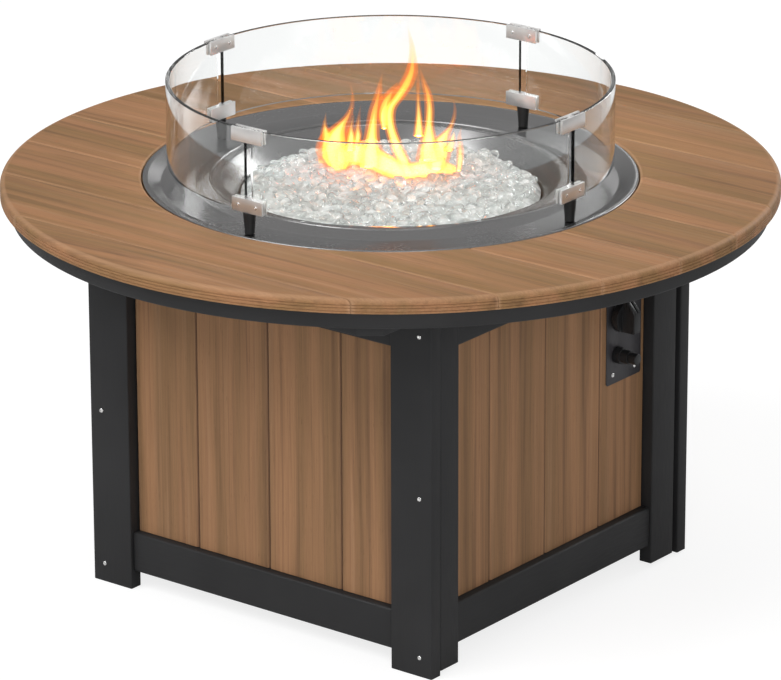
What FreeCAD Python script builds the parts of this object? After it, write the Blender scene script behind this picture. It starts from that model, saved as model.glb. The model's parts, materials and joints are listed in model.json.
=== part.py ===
import FreeCAD, Part
import os
from math import atan2, cos, radians, sin, sqrt

V = FreeCAD.Vector
SAME = 1e-6
ROUND_STEPS = 2
Z_AXIS = V(0, 0, 1)
ORIGIN = V(0, 0, 0)

# Round fire pit table. Millimetres, +Z up, origin on the floor at the middle of the base.
# The front faces -Y, the side with the controls faces +X, and the door is at +Y.

# Round top
TABLE_HEIGHT = 632.0
TOP_DIAMETER = 1168.4
TOP_THICKNESS = 22.0
TOP_ROWS = 9
TOP_OUTER_SHARE = 0.652
TOP_BOARD_GAP = 1.0
TOP_BORDER = 212.2
RIM_ROUND = 8.0
SEAM_EASE = 2.5
HOLE_EASE = 2.0

# Black ring under the round top
RING_THICKNESS = 27.3
RING_RECESS = 15.2
RING_LEDGE = 22.0
RING_EASE = 3.0

# Battens between the ring and the base
BATTEN_THICKNESS = 22.2
BATTEN_WIDTH = 89.0
BATTEN_LENGTH = 902.0
BATTEN_INSET = 3.0
BATTEN_CLIP_SIDE = 32.0
BATTEN_CLIP_END = 24.0

# Base frame boards
BASE_WIDTH = 650.0
BASE_DEPTH = 644.0
BOARD_THICKNESS = 22.2
BOARD_EASE = 1.2
LEG_WIDTH = 75.0
SIDE_FRONT_WIDTH = 43.0
SIDE_REAR_WIDTH = 58.0
SIDE_LIFT = 7.0
RAIL_HEIGHT = 63.5
RAIL_EASE = 2.5
RAIL_FLOOR_GAP = 27.5
SIDE_RAIL_LIFT = 7.5
FRONT_RAIL_SETBACK = 6.0
SIDE_RAIL_SETBACK = 3.5
HEADER_HEIGHT = 42.0

# Panel boards with tongue and groove
PANEL_THICKNESS = 16.0
PANEL_SETBACK = 17.5
PANEL_PITCH = 137.0
PANEL_SEAM_GAP = 0.6
PANEL_EDGE_GAP = 1.0
PANEL_END_GAP = 1.0
PANEL_TOP_GAP = 3.0
PANEL_EASE = 3.0
TONGUE_LENGTH = 6.0
TONGUE_THICKNESS = 5.0
TONGUE_CLEARANCE = 0.3
FRONT_FIRST_SEAM = 119.0
SIDE_LAST_BOARD = 113.2

# Posts and cleats inside the base
POST_SIZE = 38.0
POST_FOOT_SIZE = 20.0
POST_FLOOR_GAP = 40.0
CLEAT_THICKNESS = 19.0
CLEAT_HEIGHT = 38.0
CLEAT_LAP = 19.0

# Rear door, its hinges and its catch
DOOR_GAP = 12.5
DOOR_FLOOR_GAP = 2.5
DOOR_TOP_GAP = 3.0
DOOR_RAIL_SETBACK = 6.0
DOOR_BOARD_LAP = 16.5
DOOR_BOARD_INSET = 6.0
HINGE_LENGTH = 64.0
HINGE_LEAF_WIDTH = 38.0
HINGE_LEAF_THICKNESS = 2.0
HINGE_OFFSET = 3.0
HINGE_KNUCKLE_RADIUS = 4.2
HINGE_PIN_RADIUS = 2.5
HINGE_PIN_CLEARANCE = 0.05
HINGE_KNUCKLE_GAP = 0.4
KNUCKLE_SIDES = 8
HINGE_END_GAP = 90.0
CATCH_LENGTH = 46.0
CATCH_HEIGHT = 25.0
CATCH_DEPTH = 30.0
CATCH_FROM_SIDE = 70.0
CATCH_GAP = 0.4
STRIKE_THICKNESS = 2.0
STRIKE_HEIGHT = 22.0
STRIKE_DROP = 1.0

# Screws with bright heads
SCREW_HEAD_RADIUS = 3.8
SCREW_CROWN_RADIUS = 2.7
SCREW_HEAD_HEIGHT = 1.6
SCREW_SIDES = 8
LEG_SCREW_INSET = 22.0
LEG_SCREW_LOW = 29.8
LEG_SCREW_FROM_TOP = 34.6
LEG_SCREW_COUNT = 3

# Burner pan
PAN_SHEET = 1.6
PAN_EDGE_GAP = 4.5
PAN_RIM_ROUND = 3.0
PAN_RIM_WIDTH = 7.0
DISH_DEPTH = 10.0
DISH_SIDE_WIDTH = 22.0
DISH_FLAT_WIDTH = 50.0
DISH_SLOPE_WIDTH = 21.0
BEAD_HALF_WIDTH = 5.0
BEAD_DROP = 0.3
BEAD_HEIGHT = 1.2
LIP_WIDTH = 15.0
LIP_DROP = 1.2
WELL_SLOPE_WIDTH = 16.0
WELL_DROP = 20.0
BOWL_DEPTH = 45.0

# Fire glass heap
HEAP_EDGE_DROP = 24.0
HEAP_SHOULDER_WIDTH = 22.0
HEAP_TOP_DROP = 17.5
HEAP_POCKET_GAP = 2.0
LUMP_PITCH = 60.0
LUMP_RINGS = 3
LUMPS_IN_FIRST_RING = 6
LUMP_SIDES = 5
LUMP_RADIUS = 29.0
LUMP_CROWN_RADIUS = 12.0
LUMP_HEIGHT = 5.0
LUMP_UNEVEN = 1.5
LUMP_WAVE = 2.0
LUMP_ROOT = 3.0

# Burner
BURNER_RADIUS = 100.0
BURNER_TUBE = 18.0
BURNER_SPOKE_WIDTH = 13.0
BURNER_STANDOFF = 4.0
BURNER_SIDES = 6
HUB_RADIUS = 17.0
HUB_DROP = 22.0
MIXER_RADIUS = 14.0
MIXER_LENGTH = 50.0
MIXER_SIDES = 6
MIXER_WINDOW_WIDTH = 8.0
MIXER_WINDOW_HEIGHT = 14.0
MIXER_FLOOR = 12.0
ELECTRODE_RADIUS = 3.5
ELECTRODE_PIN = 2.4
ELECTRODE_FROM_AXIS = 75.0
ELECTRODE_BELOW_PAN = 16.0
ELECTRODE_ABOVE_PAN = 8.0
ELECTRODE_PIN_LENGTH = 8.0

# Control plate
PLATE_WIDTH = 88.0
PLATE_HEIGHT = 165.0
PLATE_THICKNESS = 1.6
PLATE_EDGE_GAP = 12.3
PLATE_TOP_GAP = 8.0
PLATE_CORNER = 3.0
PLATE_SCREW_INSET = 15.8
PLATE_SCREW_FROM_END = 14.3
PLATE_POCKET_SIDE = 5.0
PLATE_POCKET_END = 9.0

# Gas valve and knob
KNOB_OFFSET = -18.3
KNOB_ABOVE_PLATE = 106.6
KNOB_TRAVEL = 4.0
KNOB_GAP = 2.0
SKIRT_RADIUS = 23.0
SKIRT_THICKNESS = 10.0
SKIRT_SIDES = 24
GRIP_WIDTH = 16.5
GRIP_BELOW = 20.5
GRIP_ABOVE = 33.0
GRIP_DEPTH = 22.0
GRIP_TIP_DEPTH = 4.0
GRIP_STRAIGHT = 32.8
GRIP_EASE = 1.2
GRIP_LINE_WIDTH = 2.4
GRIP_LINE_DEPTH = 1.0
STEM_RADIUS = 4.0
STEM_CLEARANCE = 0.05
STEM_HOLE_CLEARANCE = 1.5
STEM_END_GAP = 1.0
STEM_IN_KNOB = 14.0
COLLAR_SIZE = 20.0
COLLAR_THICKNESS = 4.0
COLLAR_CLEARANCE = 0.5
VALVE_FLANGE = 40.0
VALVE_FLANGE_THICKNESS = 3.0
VALVE_NECK = 30.0
VALVE_NECK_LENGTH = 40.0
VALVE_BODY = 36.0
VALVE_BODY_LENGTH = 34.0
VALVE_OUTLET_RADIUS = 9.0
VALVE_OUTLET_LENGTH = 14.0
OUTLET_SIDES = 6
INLET_HEX_WIDTH = 19.0
INLET_HEX_LENGTH = 16.0
INLET_FLARE_RADIUS = 7.9
INLET_FLARE_LENGTH = 16.0
GAS_TUBE_RADIUS = 5.0
TUBE_LEAD = 60.0

# Push-button igniter
IGNITER_ABOVE_PLATE = 44.8
BEZEL_RADIUS = 13.0
BEZEL_LENGTH = 12.6
BEZEL_SIDES = 16
SLEEVE_RADIUS = 10.8
SLEEVE_LENGTH = 13.0
BARREL_RADIUS = 11.0
BARREL_LENGTH = 38.0
BARREL_SIDES = 8
BUTTON_RADIUS = 8.5
BUTTON_CLEARANCE = 0.08
BUTTON_REACH = 13.8
BUTTON_DEPTH = 9.0
BUTTON_TRAVEL = 4.0
BUTTON_END_GAP = 1.0

# Wind guard
GUARD_THICKNESS = 6.0
GUARD_HEIGHT = 126.0
GUARD_PANELS = 4
GUARD_JOINT_GAP = 13.0
FOOT_TOP_RADIUS = 10.0
FOOT_BOTTOM_RADIUS = 7.8
FOOT_HEIGHT = 33.0
FOOT_SIDES = 12
FOOT_CLEARANCE = 0.3
FOOT_EDGE_GAP = 3.2
CLIP_LENGTH = 56.0
CLIP_HEIGHT = 21.0
CLIP_WALL = 3.5
CLIP_WEB = 10.0
CLIP_ABOVE_GLASS = 1.5
CLIP_SCREW_SPACING = 32.6
CLIP_SCREW_RADIUS = 2.6
CLIP_SCREW_PROUD = 0.8
CLIP_SCREW_SIDES = 6

# Levels and faces that follow from the dimensions above
TOP_RADIUS = TOP_DIAMETER / 2
TOP_PITCH = TOP_DIAMETER / (TOP_ROWS - 2 + 2 * TOP_OUTER_SHARE)
PAN_RADIUS = TOP_RADIUS - TOP_BORDER
TOP_UNDERSIDE = TABLE_HEIGHT - TOP_THICKNESS
RING_UNDERSIDE = TOP_UNDERSIDE - RING_THICKNESS
BASE_TOP = RING_UNDERSIDE - BATTEN_THICKNESS
HOLE_RADIUS = PAN_RADIUS + PAN_EDGE_GAP
RING_HOLE_RADIUS = PAN_RADIUS - RING_LEDGE
HALF_WIDTH = BASE_WIDTH / 2
HALF_DEPTH = BASE_DEPTH / 2
INNER_X = HALF_WIDTH - BOARD_THICKNESS
LEG_INNER_X = HALF_WIDTH - LEG_WIDTH
FRONT_BACK_Y = -HALF_DEPTH + BOARD_THICKNESS
DOOR_BACK_Y = HALF_DEPTH - BOARD_THICKNESS
FRAME_BACK_Y = DOOR_BACK_Y - DOOR_GAP
SIDE_FRONT_END_Y = FRONT_BACK_Y + SIDE_FRONT_WIDTH
SIDE_REAR_START_Y = FRAME_BACK_Y - SIDE_REAR_WIDTH
POST_INNER_X = INNER_X - POST_SIZE
UPPER_RAIL_Z = BASE_TOP - RAIL_HEIGHT
FRONT_PANEL_Y = -HALF_DEPTH + PANEL_SETBACK
SIDE_PANEL_X = HALF_WIDTH - PANEL_SETBACK
PLATE_FACE_X = SIDE_PANEL_X + PLATE_THICKNESS
PLATE_Y = SIDE_REAR_START_Y - PLATE_EDGE_GAP - PLATE_WIDTH / 2
CONTROL_Y = PLATE_Y + KNOB_OFFSET
PANEL_TOP_Z = UPPER_RAIL_Z - PANEL_TOP_GAP
PLATE_BOTTOM = PANEL_TOP_Z - PLATE_TOP_GAP - PLATE_HEIGHT
KNOB_Z = PLATE_BOTTOM + KNOB_ABOVE_PLATE
IGNITER_Z = PLATE_BOTTOM + IGNITER_ABOVE_PLATE
DISH_Z = TABLE_HEIGHT - DISH_DEPTH
DISH_OUTER_RADIUS = PAN_RADIUS - PAN_RIM_WIDTH - DISH_SIDE_WIDTH
DISH_INNER_RADIUS = DISH_OUTER_RADIUS - DISH_FLAT_WIDTH
BEAD_RADIUS = DISH_INNER_RADIUS - DISH_SLOPE_WIDTH - BEAD_HALF_WIDTH
LIP_RADIUS = BEAD_RADIUS - LIP_WIDTH
WELL_RADIUS = LIP_RADIUS - WELL_SLOPE_WIDTH
HEAP_TOP_RADIUS = WELL_RADIUS - HEAP_SHOULDER_WIDTH
HEAP_TOP_Z = TABLE_HEIGHT - HEAP_TOP_DROP
GUARD_RADIUS = DISH_OUTER_RADIUS - FOOT_EDGE_GAP - FOOT_BOTTOM_RADIUS + GUARD_THICKNESS / 2
BOWL_FLOOR_Z = TABLE_HEIGHT - BOWL_DEPTH
BURNER_Z = BOWL_FLOOR_Z + BURNER_STANDOFF + BURNER_TUBE / 2
HUB_BOTTOM_Z = BOWL_FLOOR_Z - PAN_SHEET - HUB_DROP
GUARD_Z = DISH_Z + FOOT_CLEARANCE + FOOT_HEIGHT


def save(name, shape):
    """Write one node."""
    shape.exportStep(os.path.join("parts", name + ".step"))


def group(solids):
    """Separate solids that share a node."""
    return Part.makeCompound(solids)


def box(low, high):
    size = V(*high) - V(*low)
    return Part.makeBox(size.x, size.y, size.z, V(*low))


def board(low, high, along, ease=BOARD_EASE):
    """A board whose four long edges are eased."""
    solid = box(low, high)
    length = high[along] - low[along]
    long_edges = [edge for edge in solid.Edges if is_along(edge, along, length)]
    return solid.makeChamfer(ease, long_edges)


def is_along(edge, axis, length):
    start, end = edge.Vertexes[0].Point, edge.Vertexes[1].Point
    return abs(abs(end[axis] - start[axis]) - length) < SAME


def prism(points, direction):
    """A closed outline of points, pushed along a direction."""
    vertices = [V(*point) for point in points]
    outline = Part.makePolygon(vertices + vertices[:1])
    return Part.Face(outline).extrude(V(*direction))


def rod(radius, start, end):
    """A round bar from one point to another."""
    direction = V(*end) - V(*start)
    return Part.makeCylinder(radius, direction.Length, V(*start), direction)


def polygon(sides, radius, centre, normal):
    """Corners of a regular polygon about a centre."""
    across = V(0, 0, 1) if abs(normal.z) < 1 / 2 else V(1, 0, 0)
    up = normal.cross(across)
    turns = [radians(360 / sides * (i + 1 / 2)) for i in range(sides)]
    return [centre + across * (radius * cos(t)) + up * (radius * sin(t)) for t in turns]


def bar(sides, radius, start, end):
    """A straight bar with a regular many-sided section, from one point to another."""
    direction = V(*end) - V(*start)
    corners = polygon(sides, radius, V(*start), V(*direction).normalize())
    return prism(corners, direction)


def tapered_bar(sides, start_radius, end_radius, start, end):
    """A straight bar with flat sides that taper from one end to the other."""
    normal = (V(*end) - V(*start)).normalize()
    first = polygon(sides, start_radius, V(*start), normal)
    last = polygon(sides, end_radius, V(*end), normal)
    outlines = [first, last]
    for i in range(sides):
        outlines.append([first[i - 1], first[i], last[i], last[i - 1]])
    faces = [Part.Face(Part.makePolygon(outline + outline[:1])) for outline in outlines]
    return Part.makeSolid(Part.makeShell(faces))


def line(start, end):
    return Part.LineSegment(V(*start), V(*end)).toShape()


def revolved(edges):
    """Turn a closed outline in the XZ plane about the Z axis."""
    return Part.Face(Part.Wire(edges)).revolve(ORIGIN, Z_AXIS, 360)


def revolved_outline(points):
    """Turn a closed outline of (radius, height) points about the Z axis."""
    corners = [(radius, 0, height) for radius, height in points]
    return revolved([line(start, end) for start, end in zip(corners, corners[1:] + corners[:1])])


def rounded_rim(radius, high, rounding):
    """Steps up and inwards round an outer upper edge, as (radius, height) points."""
    turns = [radians(90 / ROUND_STEPS * i) for i in range(ROUND_STEPS + 1)]
    centre_radius, centre_height = radius - rounding, high - rounding
    return [(centre_radius + rounding * cos(t), centre_height + rounding * sin(t)) for t in turns]


def turned_by(shape, degrees):
    """A copy turned about the middle of the table."""
    copy = shape.copy()
    copy.rotate(ORIGIN, Z_AXIS, degrees)
    return copy


def mirrored_x(shape):
    return shape.mirror(ORIGIN, V(1, 0, 0))


def top_disc():
    """The round top as one disc: rounded rim, eased burner opening."""
    low, high = TOP_UNDERSIDE, TABLE_HEIGHT
    rim = rounded_rim(TOP_RADIUS, high, RIM_ROUND)
    opening = [
        (HOLE_RADIUS + HOLE_EASE, high),
        (HOLE_RADIUS, high - HOLE_EASE),
        (HOLE_RADIUS, low),
    ]
    return revolved_outline([(TOP_RADIUS, low)] + rim + opening)


def top_strip(centre_y):
    """One straight board of the top before it is cut round, chamfered at its seams."""
    half = (TOP_PITCH - TOP_BOARD_GAP) / 2
    front, rear = centre_y - half, centre_y + half
    low, high = TOP_UNDERSIDE, TABLE_HEIGHT
    outline = [
        (-TOP_RADIUS, front, low),
        (-TOP_RADIUS, rear, low),
        (-TOP_RADIUS, rear, high - SEAM_EASE),
        (-TOP_RADIUS, rear - SEAM_EASE, high),
        (-TOP_RADIUS, front + SEAM_EASE, high),
        (-TOP_RADIUS, front, high - SEAM_EASE),
    ]
    return prism(outline, (TOP_DIAMETER, 0, 0))


def top_boards():
    """Rows of boards from the front to the rear; the burner opening cuts some in two."""
    disc = top_disc()
    first_y = -TOP_PITCH * (TOP_ROWS - 1) / 2
    for row in range(TOP_ROWS):
        strip = top_strip(first_y + TOP_PITCH * row)
        save(f"top_board_{row + 1}", group(disc.common(strip).Solids))


def top_ring():
    """Black ring under the round top, eased at its lower edge."""
    outer = TOP_RADIUS - RING_RECESS
    low, high = RING_UNDERSIDE, TOP_UNDERSIDE
    return revolved_outline([
        (RING_HOLE_RADIUS, high),
        (outer, high),
        (outer, low + RING_EASE),
        (outer - RING_EASE, low),
        (RING_HOLE_RADIUS, low),
    ])


def under_battens():
    """Two battens from front to rear, clipped at their outer corners."""
    outer = HALF_WIDTH - BATTEN_INSET
    inner = outer - BATTEN_WIDTH
    end = BATTEN_LENGTH / 2
    outline = [
        (inner, -end, BASE_TOP),
        (outer - BATTEN_CLIP_SIDE, -end, BASE_TOP),
        (outer, -end + BATTEN_CLIP_END, BASE_TOP),
        (outer, end - BATTEN_CLIP_END, BASE_TOP),
        (outer - BATTEN_CLIP_SIDE, end, BASE_TOP),
        (inner, end, BASE_TOP),
    ]
    right = prism(outline, (0, 0, BATTEN_THICKNESS))
    return group([right, mirrored_x(right)])


def leg_screw_heights():
    spacing = (BASE_TOP - LEG_SCREW_FROM_TOP - LEG_SCREW_LOW) / (LEG_SCREW_COUNT - 1)
    return [LEG_SCREW_LOW + spacing * i for i in range(LEG_SCREW_COUNT)]


def screw_head(point, direction):
    """A low head proud of a face; direction points out of the face."""
    end = V(*point) + V(*direction) * SCREW_HEAD_HEIGHT
    return tapered_bar(SCREW_SIDES, SCREW_HEAD_RADIUS, SCREW_CROWN_RADIUS, point, end)


def leg_screws():
    x = HALF_WIDTH - LEG_SCREW_INSET
    return [
        screw_head((side * x, -HALF_DEPTH, z), (0, -1, 0))
        for side in (-1, 1)
        for z in leg_screw_heights()
    ]


def plate_screws():
    half = PLATE_WIDTH / 2 - PLATE_SCREW_INSET
    heights = (PLATE_BOTTOM + PLATE_SCREW_FROM_END, PLATE_BOTTOM + PLATE_HEIGHT - PLATE_SCREW_FROM_END)
    return [
        screw_head((PLATE_FACE_X, PLATE_Y + side * half, z), (1, 0, 0))
        for side in (-1, 1)
        for z in heights
    ]


def front_legs():
    """The two boards of the front face that stand on the floor."""
    low = (LEG_INNER_X, -HALF_DEPTH, 0)
    high = (HALF_WIDTH, FRONT_BACK_Y, BASE_TOP)
    right = board(low, high, 2)
    save("front_leg_right", right)
    save("front_leg_left", mirrored_x(right))


def side_legs():
    """Boards that turn the corners behind the front legs and in front of the door."""
    front = board(
        (INNER_X, FRONT_BACK_Y, SIDE_LIFT),
        (HALF_WIDTH, SIDE_FRONT_END_Y, BASE_TOP),
        2,
    )
    rear = board(
        (INNER_X, SIDE_REAR_START_Y, SIDE_LIFT),
        (HALF_WIDTH, FRAME_BACK_Y, BASE_TOP),
        2,
    )
    save("side_leg_right_front", front)
    save("side_leg_right_rear", rear)
    save("side_leg_left_front", mirrored_x(front))
    save("side_leg_left_rear", mirrored_x(rear))


def front_rails():
    y = -HALF_DEPTH + FRONT_RAIL_SETBACK
    for name, z in (("front_bottom_rail", RAIL_FLOOR_GAP), ("front_top_rail", UPPER_RAIL_Z)):
        low = (-LEG_INNER_X, y, z)
        high = (LEG_INNER_X, y + BOARD_THICKNESS, z + RAIL_HEIGHT)
        save(name, board(low, high, 0, RAIL_EASE))


def side_rails():
    x = HALF_WIDTH - SIDE_RAIL_SETBACK
    for name, z in (("bottom_rail", RAIL_FLOOR_GAP + SIDE_RAIL_LIFT), ("top_rail", UPPER_RAIL_Z)):
        low = (x - BOARD_THICKNESS, SIDE_FRONT_END_Y, z)
        high = (x, SIDE_REAR_START_Y, z + RAIL_HEIGHT)
        rail = board(low, high, 1, RAIL_EASE)
        save("right_" + name, rail)
        save("left_" + name, mirrored_x(rail))


def rear_crossbars():
    """Header and sill that close the rear of the frame around the door opening."""
    y = FRAME_BACK_Y - BOARD_THICKNESS
    for name, z, height in (
        ("rear_sill", SIDE_LIFT, RAIL_HEIGHT),
        ("rear_header", BASE_TOP - HEADER_HEIGHT, HEADER_HEIGHT),
    ):
        low = (-POST_INNER_X, y, z)
        high = (POST_INNER_X, FRAME_BACK_Y, z + height)
        save(name, board(low, high, 0))


def inner_frame():
    """Corner posts, the rear ones with a foot, and the cleats that hold the panel boards."""
    rear_post_y = FRAME_BACK_Y - POST_SIZE
    front_post_y = FRONT_BACK_Y + POST_SIZE
    front_post, rear_post = [
        box((POST_INNER_X, y, POST_FLOOR_GAP), (INNER_X, y + POST_SIZE, BASE_TOP))
        for y in (FRONT_BACK_Y, rear_post_y)
    ]
    foot_low = (INNER_X - POST_FOOT_SIZE, FRAME_BACK_Y - POST_FOOT_SIZE, 0)
    rear_post = rear_post.fuse(box(foot_low, (INNER_X, FRAME_BACK_Y, POST_FLOOR_GAP)))
    posts = [front_post, mirrored_x(front_post), rear_post, mirrored_x(rear_post)]
    front_y = FRONT_PANEL_Y + PANEL_THICKNESS
    side_x = SIDE_PANEL_X - PANEL_THICKNESS
    cleats = []
    for z in cleat_levels(0):
        low = (-POST_INNER_X, front_y, z)
        cleats.append(box(low, (POST_INNER_X, front_y + CLEAT_THICKNESS, z + CLEAT_HEIGHT)))
    for z in cleat_levels(SIDE_RAIL_LIFT):
        low = (side_x - CLEAT_THICKNESS, front_post_y, z)
        cleat = box(low, (side_x, rear_post_y, z + CLEAT_HEIGHT))
        cleats += [cleat, mirrored_x(cleat)]
    return group(posts + cleats)


def cleat_levels(lift):
    """Undersides of the lower and the upper cleat behind one panel."""
    panel_low, panel_high = panel_levels(lift)
    return panel_low - CLEAT_HEIGHT + CLEAT_LAP, panel_high - CLEAT_LAP


def panel_levels(lift):
    """Lower and upper ends of the panel boards."""
    low = RAIL_FLOOR_GAP + lift + RAIL_HEIGHT + PANEL_END_GAP
    return low, PANEL_TOP_Z


def panel_board(left, right, face, low, high, joined_left, joined_right):
    """One upright board, face towards -Y, with a V edge, tongue or groove at each seam."""
    back = face + PANEL_THICKNESS
    middle = (face + back) / 2
    tongue = TONGUE_THICKNESS / 2
    groove = tongue + TONGUE_CLEARANCE
    groove_end = left + TONGUE_LENGTH + PANEL_SEAM_GAP + TONGUE_CLEARANCE
    outline = [(left + PANEL_EASE, face), (right - PANEL_EASE, face), (right, face + PANEL_EASE)]
    if joined_right:
        tip = right + TONGUE_LENGTH
        outline += [(right, middle - tongue), (tip, middle - tongue)]
        outline += [(tip, middle + tongue), (right, middle + tongue)]
    outline += [(right, back), (left, back)]
    if joined_left:
        outline += [(left, middle + groove), (groove_end, middle + groove)]
        outline += [(groove_end, middle - groove), (left, middle - groove)]
    outline += [(left, face + PANEL_EASE)]
    return prism([(x, y, low) for x, y in outline], (0, 0, high - low))


def panel(left, right, first_seam, face, low, high):
    """A run of boards between two legs, seen from the front."""
    seams = []
    seam = left + first_seam
    while seam < right - TONGUE_LENGTH * 2:
        seams.append(seam)
        seam += PANEL_PITCH
    starts = [left] + [seam + PANEL_SEAM_GAP / 2 for seam in seams]
    ends = [seam - PANEL_SEAM_GAP / 2 for seam in seams] + [right]
    last = len(starts) - 1
    return [
        panel_board(start, end, face, low, high, i > 0, i < last)
        for i, (start, end) in enumerate(zip(starts, ends))
    ]


def control_pocket():
    """Opening in the right panel behind the control plate."""
    half = PLATE_WIDTH / 2 - PLATE_POCKET_SIDE
    margin = PLATE_SCREW_FROM_END + PLATE_POCKET_END
    low = (SIDE_PANEL_X - PANEL_THICKNESS, PLATE_Y - half, PLATE_BOTTOM + margin)
    high = (SIDE_PANEL_X, PLATE_Y + half, PLATE_BOTTOM + PLATE_HEIGHT - margin)
    return box(low, high)


def fixed_panels():
    low, high = panel_levels(0)
    half = LEG_INNER_X - PANEL_EDGE_GAP
    save("front_panel", group(panel(-half, half, FRONT_FIRST_SEAM, FRONT_PANEL_Y, low, high)))
    low, high = panel_levels(SIDE_RAIL_LIFT)
    left = SIDE_FRONT_END_Y + PANEL_EDGE_GAP
    right = SIDE_REAR_START_Y - PANEL_EDGE_GAP
    first_seam = (right - left - SIDE_LAST_BOARD) % PANEL_PITCH
    boards = panel(left, right, first_seam, -SIDE_PANEL_X, low, high)
    right_boards = [turned_by(one, 90) for one in boards]
    pocket = control_pocket()
    save("right_panel", group([one.cut(pocket) for one in right_boards]))
    save("left_panel", group([mirrored_x(one) for one in right_boards]))


def door():
    """Access door: two stiles, two rails and boards behind them."""
    top = BASE_TOP - DOOR_TOP_GAP
    stile = board((LEG_INNER_X, DOOR_BACK_Y, DOOR_FLOOR_GAP), (HALF_WIDTH, HALF_DEPTH, top), 2)
    save("door_stile_right", stile)
    save("door_stile_left", mirrored_x(stile))
    face = HALF_DEPTH - DOOR_RAIL_SETBACK
    for name, z in (("door_bottom_rail", RAIL_FLOOR_GAP), ("door_top_rail", top - RAIL_HEIGHT)):
        low = (-LEG_INNER_X, DOOR_BACK_Y, z)
        save(name, board(low, (LEG_INNER_X, face, z + RAIL_HEIGHT), 0, RAIL_EASE))
    half = LEG_INNER_X - DOOR_BOARD_INSET
    low, high = door_board_levels()
    boards = panel(-half, half, FRONT_FIRST_SEAM, -DOOR_BACK_Y, low, high)
    save("door_panel", group([turned_by(one, 180) for one in boards]))


def door_board_levels():
    low = RAIL_FLOOR_GAP + RAIL_HEIGHT - DOOR_BOARD_LAP
    high = BASE_TOP - DOOR_TOP_GAP - RAIL_HEIGHT + DOOR_BOARD_LAP
    return low, high


def hinge_axis():
    """Where the door turns, in plan."""
    frame_face = FRAME_BACK_Y + HINGE_LEAF_THICKNESS
    door_face = DOOR_BACK_Y - HINGE_LEAF_THICKNESS
    return -HALF_WIDTH - HINGE_OFFSET, (frame_face + door_face) / 2


def hinge_starts():
    top = BASE_TOP - DOOR_TOP_GAP
    return HINGE_END_GAP, top - HINGE_END_GAP - HINGE_LENGTH


def knuckle(start, end):
    x, y = hinge_axis()
    return bar(KNUCKLE_SIDES, HINGE_KNUCKLE_RADIUS, (x, y, start), (x, y, end))


def hinges():
    """Two butt hinges: the frame leaf holds the outer knuckles, which hold the pin between them."""
    x, y = hinge_axis()
    third = HINGE_LENGTH / 3
    edge_x = x + HINGE_OFFSET + HINGE_LEAF_WIDTH
    clear = HINGE_KNUCKLE_RADIUS + HINGE_KNUCKLE_GAP
    running = HINGE_PIN_RADIUS + HINGE_PIN_CLEARANCE
    frame_leaves, door_leaves, pins = [], [], []
    for z in hinge_starts():
        top = z + HINGE_LENGTH
        low, high = z + third, top - third
        middle = low + HINGE_KNUCKLE_GAP, high - HINGE_KNUCKLE_GAP
        leaf = box((x, FRAME_BACK_Y, z), (edge_x, FRAME_BACK_Y + HINGE_LEAF_THICKNESS, top))
        leaf = leaf.cut(bar(KNUCKLE_SIDES, clear, (x, y, low), (x, y, high)))
        frame_leaves.append(leaf.fuse(knuckle(z, low)).fuse(knuckle(high, top)).removeSplitter())
        flap = box((x, DOOR_BACK_Y - HINGE_LEAF_THICKNESS, z), (edge_x, DOOR_BACK_Y, top))
        for start, end in ((z, middle[0]), (middle[1], top)):
            flap = flap.cut(bar(KNUCKLE_SIDES, clear, (x, y, start), (x, y, end)))
        flap = flap.fuse(knuckle(*middle)).removeSplitter()
        door_leaves.append(flap.cut(rod(running, (x, y, low), (x, y, high))))
        pins.append(rod(HINGE_PIN_RADIUS, (x, y, low), (x, y, high)))
    save("hinge_frame_leaves", group(frame_leaves))
    save("hinge_door_leaves", group(door_leaves))
    save("hinge_pins", group(pins))


def door_catch():
    """Magnetic catch under the header, and the steel strike on the door boards."""
    board_back = DOOR_BACK_Y - PANEL_THICKNESS
    strike_face = board_back - STRIKE_THICKNESS
    header_low = BASE_TOP - HEADER_HEIGHT
    high_x = POST_INNER_X - CATCH_FROM_SIDE
    low_x = high_x - CATCH_LENGTH
    front = strike_face - CATCH_GAP
    body = box((low_x, front - CATCH_DEPTH, header_low - CATCH_HEIGHT), (high_x, front, header_low))
    save("magnetic_catch", body)
    strike_high = door_board_levels()[1] - STRIKE_DROP
    strike = box((low_x, strike_face, strike_high - STRIKE_HEIGHT), (high_x, board_back, strike_high))
    save("catch_strike", strike)


def pan_surface():
    """Upper side of the pan from its rim to the axis, as (radius, height) points."""
    rim = PAN_RADIUS - PAN_RIM_WIDTH
    bead_z = TABLE_HEIGHT - BEAD_DROP
    bead_out = BEAD_RADIUS + BEAD_HALF_WIDTH
    lip_z = TABLE_HEIGHT - LIP_DROP
    return [
        (rim, TABLE_HEIGHT),
        (DISH_OUTER_RADIUS, DISH_Z),
        (DISH_INNER_RADIUS, DISH_Z),
        (bead_out, bead_z - BEAD_HEIGHT),
        (BEAD_RADIUS, bead_z),
        (LIP_RADIUS, lip_z),
        (WELL_RADIUS, TABLE_HEIGHT - WELL_DROP),
        (WELL_RADIUS, BOWL_FLOOR_Z),
        (0, BOWL_FLOOR_Z),
    ]


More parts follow.
